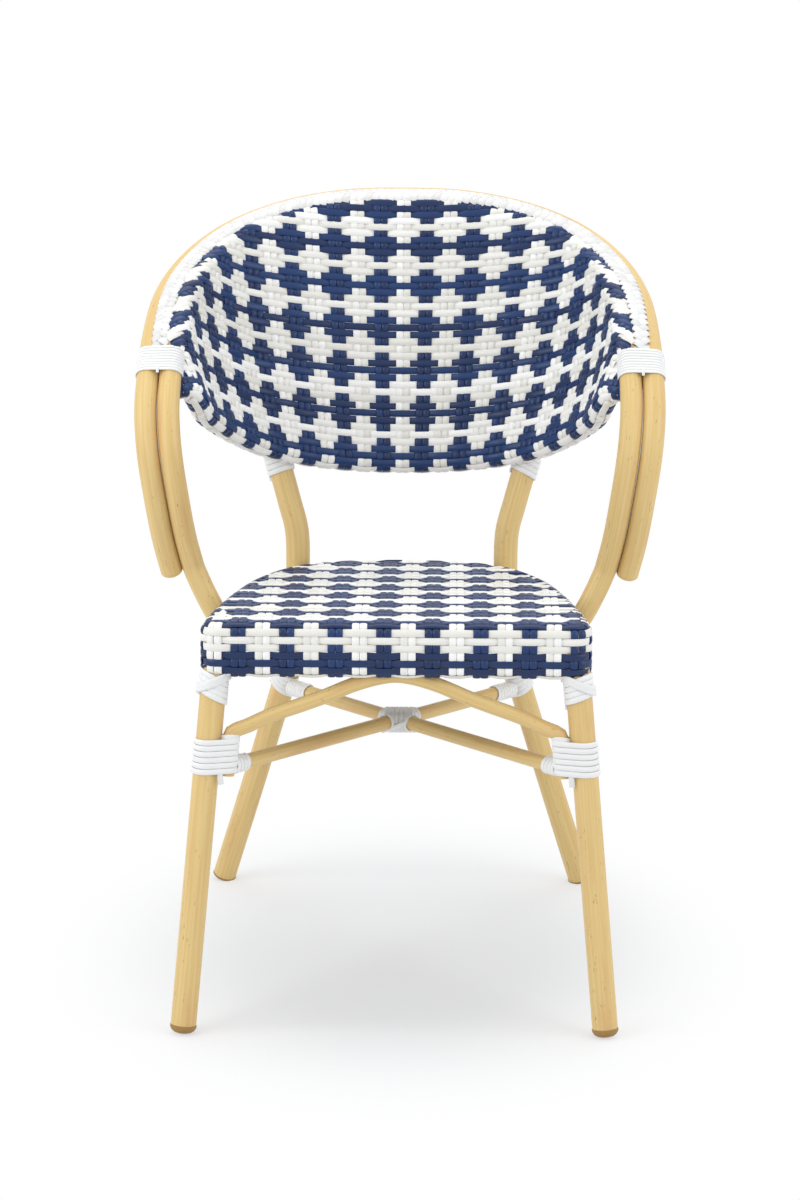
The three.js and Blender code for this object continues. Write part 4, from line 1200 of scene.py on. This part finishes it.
def turned(name, start, way, profile, material, slot, *nodes):
    """A turned piece from its profile: distances along the axis and radii there."""
    bundle = Bundle(TURNED_SIDES)
    out = way.orthogonal().normalized()
    stops = [Stop(start + way * travel, out) for travel, _ in profile]
    bundle.add(stops, round_bar(2.0), 0.5, [radius for _, radius in profile])
    return bundle.piece(name, material, slot, *nodes, sharp=TURNED_SHARP)


def stood(piece):
    """Cuts a foot cap level with the floor that it stands on."""
    shape = bmesh.new()
    shape.from_mesh(piece.data)
    cut = bmesh.ops.bisect_plane(shape, geom=shape.verts[:] + shape.edges[:] + shape.faces[:],
                                 plane_co=(0, 0, 0), plane_no=-UP, clear_outer=True)
    rim = [part for part in cut["geom_cut"] if isinstance(part, bmesh.types.BMEdge)]
    bmesh.ops.holes_fill(shape, edges=rim)
    shape.to_mesh(piece.data)
    shape.free()
    piece.data.set_sharp_from_angle(angle=math.radians(TURNED_SHARP))


CAP_PROFILE = [
    (-0.024, 0.0118), (0, 0.0118), (0.00005, 0.0140), (0.0005, 0.0144), (0.0032, 0.0144),
    (0.0042, 0.0140), (0.0066, 0.0124), (0.0084, 0.0100), (0.0094, 0.0070), (0.0098, 0.0030),
]
DOME_PROFILE = [
    (0, 1.0), (0.0012, 0.98), (0.0026, 0.9), (0.0040, 0.76), (0.0052, 0.55), (0.0058, 0.3),
]


def build_ends():
    brown = bpy.data.materials["Moulded brown plastic"]
    coat = bpy.data.materials[BAMBOO]
    for name, side in SIDES.items():
        start = on_side(front_leg_at(CAP_HEIGHT - CAP_OVERLAP), side)
        stood(turned(f"front_foot_{name}", start, -on_side(front_axis, side), CAP_PROFILE, brown,
                     "brown_plastic", f"foot_cap_front_{name}"))
        start = on_side(rear_line.at(0), side)
        squat = [(travel * min(1, start.z / CAP_HEIGHT) if travel > 0 else travel, radius)
                 for travel, radius in CAP_PROFILE]
        stood(turned(f"rear_foot_{name}", start, -on_side(rear_line.way(0), side), squat, brown,
                     "brown_plastic", f"foot_cap_rear_{name}"))
        end = on_side(outer_hoop.fine[-1], side)
        way = on_side(outer_hoop.way(outer_hoop.length), side)
        dome = [(travel, share * ARM_TUBE / 2) for travel, share in DOME_PROFILE]
        turned(f"arm_end_{name}", end, way, dome, coat, "bamboo_coat", f"arm_end_plate_{name}")


WIDTH_SPREAD = 0.0002
BAND_ROWS = 6


def strand(weave, chance):
    """The outline of a strand, a little narrower or wider than the next one."""
    width = weave.strand_width + chance.uniform(-WIDTH_SPREAD, WIDTH_SPREAD)
    return flat_oval(width, weave.strand_thickness)


def woven(name, runs, node, weave, chance):
    """A white and a navy piece from the colours and the runs of their strands."""
    bundles = {colour: Bundle(STRAND_SIDES) for colour in ("white", "navy")}
    for colour, run in runs:
        stops = waved(*run, weave.wave)
        bundles[colour].add(stops, strand(weave, chance), chance.random())
    for colour, bundle in bundles.items():
        material = bpy.data.materials[f"{colour.title()} polyethylene strand"]
        bundle.piece(f"{name}_{colour}", material, "woven_strand", node)


def pair_colour(pair):
    return "white" if pair % 2 == 0 else "navy"


def row_colour(row):
    """Three navy rows, then three white ones."""
    return "navy" if row % BAND_ROWS < BAND_ROWS / 2 else "white"


def build_seat(weave):
    chance = random.Random(11)
    woven("seat_pairs", [
        (pair_colour(pair), seat_warp(pair, offset))
        for pair in range(PAIRS) for offset in (-PAIR_OFFSET, PAIR_OFFSET)
    ], "seat_weave", weave, chance)
    woven("seat_rows", [
        (row_colour(row + 1), seat_weft(row)) for row in range(WEFTS)
    ], "seat_weave", weave, chance)
    woven("seat_rings", [
        (colour, seat_ring(ring)) for ring, colour in enumerate(RING_COLOURS)
    ], "seat_weave", weave, chance)


def build_back(weave):
    chance = random.Random(13)
    sheet = BackSheet()
    woven("back_pairs", [
        (pair_colour(pair), back_warp(sheet, pair, side))
        for pair in range(-BACK_PAIRS, BACK_PAIRS + 1) for side in (-1, 1)
    ], "back_weave", weave, chance)
    rows = [(row, back_weft(sheet, row)) for row in range(FIRST_BACK_ROW, BACK_ROWS)]
    woven("back_rows", [
        (row_colour(row - 1) if row >= 1 else "white", run) for row, run in rows if run
    ], "back_weave", weave, chance)


def build_braid(weave):
    chance = random.Random(17)
    bundle = Bundle(STRAND_SIDES)
    start = (0.5 - SHELL_SHARE) * HOOP_STEPS
    first = outer_hoop.lengths[round(start)] - BRAID_OVERRUN
    last = outer_hoop.length - first
    for travel in steps(first, last, BRAID_PITCH):
        for side in (-1, 1):
            place = travel + (BRAID_PITCH / 2 if side > 0 else 0)
            near_end = 1 - min(place - first, last - place, BRAID_OVERRUN) / BRAID_OVERRUN
            bundle.add(braid_strip(place, side, BRAID_SINK * near_end ** 2),
                       flat_oval(weave.braid_width, BRAID_THICKNESS), chance.random())
    white = bpy.data.materials["White polyethylene braid"]
    bundle.piece("braid_strips", white, "white_braid", "rim_braid")


# Windings: a strip is a little narrower than its pitch. A slope is metres along the tube for each
# metre across it, and a short strip has its length and how far it bows.
BROAD_SHARE = 0.98
FINE_SHARE = 0.97
FIRST_TONE = 0.2
TONE_STEP = 0.31
ARM_SEARCH = (0.7, 0.95)
ARM_TUCK_GAP = 0.003
ARM_TUCK = (0.010, 0.0022)
ARM_SEAT_FROM_END = 0.011
ARM_SEAT_LENGTH = 0.020
LEG_TURNS_DROP = 0.0018
LEG_TURNS_EDGE = 0.002
ARCH_STRAP_SLOPE = 0.35
ARCH_STRAP_PITCH = 0.5
LEG_TIE_REACH = 0.0015
LEG_TIE = (0.013, 0.0008)
LEG_TOP_LENGTH = 0.026
LEG_TOP_SLOPE = -0.36
LEG_TOP_STRAP_RISE = 0.006
LEG_TOP_STRAP_PITCH = 0.3
LEG_TOP_STRAP_SLOPE = 0.5
REAR_TURNS_RISE = 0.003
BAR_TURNS = {"front": (0.0155, 0.021), "rear": (0.036, 0.040)}  # middle and length
CROSS_SPREAD = 0.022
CROSS_LENGTH = 0.052
CROSS_TURNS = 6
CROSS_STRAP = Vector((0.040, 0, 0.015))
CROSS_STRAP_OUT = 1.2
CROSS_STRAP_LIFT = 0.0015


def winding_piece(name, runs, width, thickness):
    bundle = Bundle(STRIP_SIDES)
    for number, stops in enumerate(runs):
        tone = (TONE_STEP * number + FIRST_TONE) % 1
        bundle.add(stops, flat_oval(width, thickness, STRIP_SQUARENESS), tone)
    white = bpy.data.materials["White polyethylene strip"]
    bundle.piece(f"{name}_strip", white, "white_strip", name)


def sleeve_run(line, middle, length, diameter, pitch, thickness, slope=0.0):
    turns = max(1, round(length / pitch))
    return wound(lambda travel: tube_frame(line, middle + travel), [diameter / 2], 0, turns, pitch,
                 thickness, slope)


def short_strip(place, along, out, length, lift):
    """A short flat strip from a place along a way, bowed outwards in its middle."""
    shares = [step / 6 for step in range(7)]
    return [Stop(place + along * (length * share) + out * (lift * math.sin(math.pi * share)), out)
            for share in shares]


def build_arm_windings(winding, name, side):
    """Fine turns round both hoops, and the tucked end below them in the valley."""
    middle = outer_hoop.where(lambda place: place.z, winding.arm_height, *ARM_SEARCH)
    pitch, thick = winding.fine_pitch, winding.fine_thickness

    def frame_at(travel):
        return outer_hoop.frame(middle + travel).on_side(side)

    runs = [wound(frame_at, [ARM_TUBE / 2] * 2, HOOP_SPACING, winding.arm_turns, pitch, thick)]
    low = frame_at(winding.arm_turns * pitch / 2)
    tuck = low.spot(HOOP_SPACING / 2, ARM_TUBE / 2) + low.along * ARM_TUCK_GAP
    runs.append(short_strip(tuck, -low.along, low.above, *ARM_TUCK))
    winding_piece(f"arm_wrap_{name}", runs, pitch * FINE_SHARE, thick)
    tail = mirror_line(tail_line, side)
    pitch, thick = winding.broad_pitch, winding.thickness
    middle = tail.length - ARM_SEAT_FROM_END
    run = sleeve_run(tail, middle, ARM_SEAT_LENGTH, ARM_TUBE, pitch, thick)
    winding_piece(f"arm_seat_wrap_{name}", [run], pitch * BROAD_SHARE, thick)


def build_leg_windings(winding, name, side):
    """Broad level turns round the leg and the arch's foot, with a strap round the arch above them
    and a tied end below, and sloping turns with a crossing strap at the leg's top."""
    pitch, thick = winding.broad_pitch, winding.thickness
    across, above = Vector((-1, 0, 0)), Vector((0, -1, 0))
    middle = front_leg_at(LEG_WRAP_HEIGHT - LEG_TURNS_DROP)
    spacing = ARCH_REACH / front_axis.z

    def frame_at(travel):
        return Frame(middle + front_axis * travel, across, above, front_axis).on_side(side)

    turns = winding.leg_turns
    half = turns * pitch / 2
    runs = [wound(frame_at, [LEG_TUBE / 2, RAIL_TUBE / 2], spacing, turns, pitch, thick)]
    arch = Line([on_side(place, side) for place in reversed(arch_line.fine)])
    strap = arch.where(lambda place: place.z, LEG_WRAP_HEIGHT + half - LEG_TURNS_EDGE, 0, 0.2)
    runs.append(sleeve_run(arch, strap, pitch, RAIL_TUBE, pitch * ARCH_STRAP_PITCH, thick,
                           ARCH_STRAP_SLOPE * side))
    foot = frame_at(-half + LEG_TURNS_EDGE)
    tie = foot.spot(LEG_TUBE / 2 + LEG_TIE_REACH, RAIL_TUBE / 2 + thick)
    runs.append(short_strip(tie, -front_axis, foot.above, *LEG_TIE))
    winding_piece(f"front_leg_wrap_{name}", runs, pitch * BROAD_SHARE, thick)

    leg = mirror_line(Line([front_foot, front_top]), side)
    top = leg.where(lambda place: place.z, winding.leg_top_height)
    around, strap = LEG_TUBE + 2 * thick, pitch * LEG_TOP_STRAP_PITCH
    runs = [
        sleeve_run(leg, top, LEG_TOP_LENGTH, LEG_TUBE, pitch, thick, LEG_TOP_SLOPE * side),
        sleeve_run(leg, top + LEG_TOP_STRAP_RISE, pitch, around, strap, thick,
                   LEG_TOP_STRAP_SLOPE * side),
    ]
    winding_piece(f"front_leg_top_wrap_{name}", runs, pitch * BROAD_SHARE, thick)


def build_rear_windings(winding, name, side):
    """Turns on the rear leg: at the stretcher, under the back's rim and below the outer hoop."""
    pitch, thick = winding.broad_pitch, winding.thickness
    line = mirror_line(rear_line, side)
    for part, height, length, slope in (
        ("rear_leg_wrap", REAR_WRAP_HEIGHT + REAR_TURNS_RISE, 0.026, -0.3),
        ("back_rail_wrap", winding.rim_height, 0.024, 0.15),
        ("upright_top_wrap", winding.upright_height, 0.030, 0.1),
    ):
        middle = line.where(lambda place: place.z, height)
        run = sleeve_run(line, middle, length, LEG_TUBE, pitch, thick, slope * side)
        winding_piece(f"{part}_{name}", [run], pitch * BROAD_SHARE, thick)


def build_bar_windings(winding):
    """Turns on the ends of the stretchers, and turns and straps over their crossing."""
    pitch, thick = winding.bar_pitch, winding.fine_thickness
    left_front, left_rear = on_side(bar_front, -1), on_side(bar_rear, -1)
    for name, start, end in (
        ("front_left", left_front, bar_rear), ("rear_right", bar_rear, left_front),
        ("front_right", bar_front, left_rear), ("rear_left", left_rear, bar_front),
    ):
        middle, length = BAR_TURNS[name.split("_")[0]]
        run = sleeve_run(Line([start, end]), middle, length, RAIL_TUBE, pitch, thick)
        winding_piece(f"stretcher_wrap_{name}", [run], pitch * FINE_SHARE, thick)
    runs = []
    for start, end in ((left_front, bar_rear), (bar_front, left_rear)):
        line = Line([start, end])
        middle = line.where(lambda place: place.x, 0)
        runs.append(sleeve_run(line, middle, CROSS_LENGTH, RAIL_TUBE, pitch, thick))
    front = crossing - Vector((0, CROSS_SPREAD / 2, 0))
    across, along = Vector((0, 1, 0)), Vector((1, 0, 0))
    radius = RAIL_TUBE / 2 + thick
    runs.append(wound(lambda travel: Frame(front + along * travel, across, UP, along),
                      [radius] * 2, CROSS_SPREAD, CROSS_TURNS, pitch, thick))
    start = front - CROSS_STRAP / 2 - across * (radius + CROSS_STRAP_OUT * thick)
    runs.append(short_strip(start, CROSS_STRAP.normalized(), -across, CROSS_STRAP.length,
                            CROSS_STRAP_LIFT))
    winding_piece("stretcher_cross_wrap", runs, pitch * FINE_SHARE, thick)


def build_windings(winding):
    for name, side in SIDES.items():
        build_arm_windings(winding, name, side)
        build_leg_windings(winding, name, side)
        build_rear_windings(winding, name, side)
    build_bar_windings(winding)


def build_materials(colours):
    bamboo_coat(colours)
    brown_plastic(colours)
    polyethylene("White polyethylene strand", colours.white, linear("#E4E3DD"), 0.38, glow=0.1)
    polyethylene("Navy polyethylene strand", colours.navy, colours.navy_deep, 0.34)
    for name, light, deep, roughness, ribs in (
        ("strip", "#EAEBEB", "#DFE0E0", 0.38, 0.2), ("braid", "#E9E9E9", "#D9D9D8", 0.4, 0.25),
    ):
        polyethylene(
            f"White polyethylene {name}", linear(light), linear(deep), roughness, ribs, 0.1)


# Stage.
def area_light(name, place, target, size, power):
    data = bpy.data.lights.new(name, "AREA")
    data.shape = "RECTANGLE"
    data.size, data.size_y = size
    data.energy = power
    light = bpy.data.objects.new(name, data)
    light.location = place
    light.rotation_euler = (Vector(target) - Vector(place)).to_track_quat("-Z", "Y").to_euler()
    bpy.context.scene.collection.objects.link(light)


def direct_rays(holder):
    """1 for what the camera sees by itself, in a reflection or through something, and else 0."""
    seen, glossy, through = (
        add_node(holder, "ShaderNodeLightPath", output=f"Is {ray} Ray")
        for ray in ("Camera", "Glossy", "Transmission"))
    seen = add_node(holder, "ShaderNodeMath", {0: seen, 1: glossy}, operation="MAXIMUM")
    return add_node(holder, "ShaderNodeMath", {0: seen, 1: through}, operation="MAXIMUM")


def floor_material():
    """White card: round the chair it shows the soft shadow, and farther out it is plain white to
    the camera and in reflections."""
    card = emptied(bpy.data.materials.new("White studio floor"))
    place = add_node(card, "ShaderNodeTexCoord", output="Object")
    place = add_node(card, "ShaderNodeVectorMath", {0: place, 1: (1.3, 1, 1)}, operation="MULTIPLY")
    away = add_node(card, "ShaderNodeVectorMath", {0: place}, "Value", operation="LENGTH")
    far = add_node(card, "ShaderNodeMapRange", {
        "Value": away, "From Min": 0.2, "From Max": 0.56}, **SMOOTH)
    far = add_node(card, "ShaderNodeMath", {0: far, 1: direct_rays(card)}, operation="MULTIPLY")
    near = add_node(card, "ShaderNodeBsdfDiffuse", {"Color": linear("#E6E8EB")})
    white = add_node(card, "ShaderNodeEmission", {"Strength": 1.0})
    total = add_node(card, "ShaderNodeMixShader", {0: far, 1: near, 2: white})
    add_node(card, "ShaderNodeOutputMaterial", {"Surface": total})
    return card


def white_world(strength):
    world = emptied(bpy.data.worlds.new("Studio white"))
    level = add_node(world, "ShaderNodeMapRange", {
        "Value": direct_rays(world), "To Min": strength, "To Max": 1.0})
    light = add_node(world, "ShaderNodeBackground", {"Color": (1, 1, 1, 1), "Strength": level})
    add_node(world, "ShaderNodeOutputWorld", {"Surface": light})
    bpy.context.scene.world = world


def build_stage(stage):
    scene = bpy.context.scene
    bpy.ops.mesh.primitive_plane_add(size=60, location=(0, 0, 0))
    floor = bpy.context.object
    floor.name = "studio_floor"
    floor.data.materials.append(floor_material())
    white_world(stage.world_strength)
    area_light("key_softbox", (-1.7, -1.0, 1.5), (0, 0, 0.5), (1.6, 1.6), stage.key_power)
    area_light("fill_softbox", (1.8, -0.9, 1.4), (0, 0, 0.5), (1.6, 1.6), stage.fill_power)
    area_light("top_softbox", (0, 0.7, 2.6), (0, 0, 0), (2.2, 2.0), stage.top_power)
    data = bpy.data.cameras.new("photo_camera")
    data.lens = stage.lens
    data.sensor_width = 36
    data.clip_end = 100
    camera = bpy.data.objects.new("photo_camera", data)
    place = (stage.camera_across, SEAT_FRONT - stage.camera_distance, stage.camera_height)
    yaw = Matrix.Rotation(stage.camera_yaw, 4, "Z")
    tilt = Matrix.Rotation(math.pi / 2 - stage.camera_pitch, 4, "X")
    roll = Matrix.Rotation(stage.camera_roll, 4, "Z")
    camera.matrix_world = Matrix.Translation(place) @ yaw @ tilt @ roll
    scene.collection.objects.link(camera)
    scene.camera = camera
    scene.view_settings.view_transform = "Standard"


# Add-on.
def length(name, value, description):
    return FloatProperty(name=name, description=description, default=value, subtype="DISTANCE",
                         unit="LENGTH", precision=4)


def angle(name, degrees, description):
    return FloatProperty(name=name, description=description, default=math.radians(degrees),
                         subtype="ANGLE", unit="ROTATION")


def power(name, watts, description):
    return FloatProperty(name=name, description=description, default=watts, unit="POWER")


def colour(name, code, description):
    return FloatVectorProperty(name=name, description=description, default=linear(code), size=4,
                               min=0, max=1, subtype="COLOR")


class BistroTubes(bpy.types.PropertyGroup):
    leg: length("Leg tube", LEG_TUBE, "Diameter of the four legs")
    arm: length("Arm tube", ARM_TUBE, "Diameter of both hoops")
    rail: length("Rail tube", RAIL_TUBE, "Diameter of the rails, the arch and the stretchers")
    post: length("Post tube", POST_TUBE, "Diameter of the posts inside the seat")


class BistroWeave(bpy.types.PropertyGroup):
    strand_width: length("Strand width", 0.0081, "Width of a woven strand")
    strand_thickness: length("Strand thickness", 0.0024, "Thickness of a woven strand")
    wave: length("Wave height", 0.0012, "How far a strand rises over those that it crosses")
    braid_width: length("Braid strip width", 0.0092, "Width of a strip in the braid")


class BistroWinding(bpy.types.PropertyGroup):
    fine_pitch: length("Fine pitch", 0.00355, "Distance between turns at the arms")
    broad_pitch: length("Broad pitch", 0.0064, "Distance between turns on the legs")
    bar_pitch: length("Bar pitch", 0.0054, "Distance between turns on the stretchers")
    thickness: length("Strip thickness", 0.0022, "Thickness of the strip on the legs")
    fine_thickness: length("Fine strip thickness", 0.0018, "Thickness of the finer strip")
    arm_height: length("Arm winding height", 0.687, "Height of the turns round both hoops")
    leg_top_height: length("Leg top winding height", 0.3765, "Height of the turns under the seat")
    rim_height: length("Rim winding height", 0.541, "Height of the turns at the back's rim")
    upright_height: length("Upright winding height", 0.760, "Height of the turns under the hoop")
    arm_turns: IntProperty(name="Arm turns", description="Turns round both hoops", default=9)
    leg_turns: FloatProperty(name="Leg turns", description="Turns round leg and arch", default=5.7)


class BistroColours(bpy.types.PropertyGroup):
    bamboo: colour("Bamboo", "#D2B171", "Darker fibres of the bamboo look")
    bamboo_light: colour("Bamboo, light", "#E0C68B", "Lighter fibres of the bamboo look")
    navy: colour("Navy", "#143567", "Navy strands")
    navy_deep: colour("Navy, deep", "#102853", "Darkest of the navy strands")
    white: colour("White", "#F6F6F4", "White strands")
    cap: colour("Caps", "#A98347", "Foot caps")


class BistroStage(bpy.types.PropertyGroup):
    lens: FloatProperty(name="Lens", description="Focal length in millimetres", default=102.0)
    camera_pitch: angle("Camera pitch", 13.985, "How far the camera looks down")
    camera_roll: angle("Camera roll", 0.2, "How far the camera is tilted sideways")
    camera_yaw: angle("Camera yaw", 0.91, "How far the camera is turned to the left")
    camera_across: length("Camera across", 0.060, "How far to the right the camera stands")
    camera_distance: length("Camera distance", 3.51, "Distance from the seat's front")
    camera_height: length("Camera height", 1.352, "Height above the floor")
    world_strength: FloatProperty(
        name="World strength", description="Light that comes from all sides", default=0.78)
    key_power: power("Key power", 18.0, "Softbox on the left")
    fill_power: power("Fill power", 13.0, "Softbox on the right")
    top_power: power("Top power", 18.0, "Softbox above")


class BistroOperator:
    bl_options = {"REGISTER", "UNDO"}


class BISTRO_OT_materials(BistroOperator, bpy.types.Operator):
    """Make the materials of the chair"""
    bl_idname = "bistro.materials"
    bl_label = "Materials"

    def execute(self, context):
        build_materials(context.scene.bistro_colours)
        return {"FINISHED"}


class BISTRO_OT_tubes(BistroOperator, bpy.types.Operator):
    """Bend the tubes of the frame"""
    bl_idname = "bistro.tubes"
    bl_label = "Frame tubes"

    def execute(self, context):
        build_tubes(context.scene.bistro_tubes)
        return {"FINISHED"}


class BISTRO_OT_ends(BistroOperator, bpy.types.Operator):
    """Turn the foot caps and the domed arm ends"""
    bl_idname = "bistro.ends"
    bl_label = "Foot caps and arm ends"

    def execute(self, context):
        build_ends()
        return {"FINISHED"}


class BISTRO_OT_seat(BistroOperator, bpy.types.Operator):
    """Weave the seat over its rails"""
    bl_idname = "bistro.seat"
    bl_label = "Seat weave"

    def execute(self, context):
        build_seat(context.scene.bistro_weave)
        return {"FINISHED"}


class BISTRO_OT_back(BistroOperator, bpy.types.Operator):
    """Weave the back between its rail and the inner hoop"""
    bl_idname = "bistro.back"
    bl_label = "Back weave"

    def execute(self, context):
        build_back(context.scene.bistro_weave)
        return {"FINISHED"}


class BISTRO_OT_braid(BistroOperator, bpy.types.Operator):
    """Braid the strips over both hoops"""
    bl_idname = "bistro.braid"
    bl_label = "Rim braid"

    def execute(self, context):
        build_braid(context.scene.bistro_weave)
        return {"FINISHED"}


class BISTRO_OT_windings(BistroOperator, bpy.types.Operator):
    """Wind the strips over the joints"""
    bl_idname = "bistro.windings"
    bl_label = "Windings"

    def execute(self, context):
        build_windings(context.scene.bistro_winding)
        return {"FINISHED"}


class BISTRO_OT_stage(BistroOperator, bpy.types.Operator):
    """Set up the floor, the lights and the camera"""
    bl_idname = "bistro.stage"
    bl_label = "Stage"

    def execute(self, context):
        build_stage(context.scene.bistro_stage)
        return {"FINISHED"}


GROUPS = {
    "bistro_tubes": BistroTubes, "bistro_weave": BistroWeave, "bistro_winding": BistroWinding,
    "bistro_colours": BistroColours, "bistro_stage": BistroStage,
}
OPERATORS = [
    BISTRO_OT_materials, BISTRO_OT_tubes, BISTRO_OT_ends, BISTRO_OT_seat, BISTRO_OT_back,
    BISTRO_OT_braid, BISTRO_OT_windings, BISTRO_OT_stage,
]


class BISTRO_PT_panel(bpy.types.Panel):
    bl_label = "Bistro Armchair"
    bl_idname = "BISTRO_PT_panel"
    bl_space_type = "VIEW_3D"
    bl_region_type = "UI"
    bl_category = "Bistro Chair"

    def draw(self, context):
        for key, group in GROUPS.items():
            box = self.layout.box()
            for field in group.__annotations__:
                box.prop(getattr(context.scene, key), field)
        for operator in OPERATORS:
            self.layout.operator(operator.bl_idname)


def register():
    for group in GROUPS.values():
        bpy.utils.register_class(group)
    for operator in OPERATORS:
        bpy.utils.register_class(operator)
    bpy.utils.register_class(BISTRO_PT_panel)
    for key, group in GROUPS.items():
        setattr(bpy.types.Scene, key, PointerProperty(type=group))


def unregister():
    for key in GROUPS:
        delattr(bpy.types.Scene, key)
    bpy.utils.unregister_class(BISTRO_PT_panel)
    for operator in reversed(OPERATORS):
        bpy.utils.unregister_class(operator)
    for group in GROUPS.values():
        bpy.utils.unregister_class(group)


def main():
    """Builds the chair and its stage in order."""
    register()
    bpy.ops.bistro.materials()
    bpy.ops.bistro.tubes()
    bpy.ops.bistro.ends()
    bpy.ops.bistro.seat()
    bpy.ops.bistro.back()
    bpy.ops.bistro.braid()
    bpy.ops.bistro.windings()
    bpy.ops.bistro.stage()


if __name__ == "__main__":
    main()
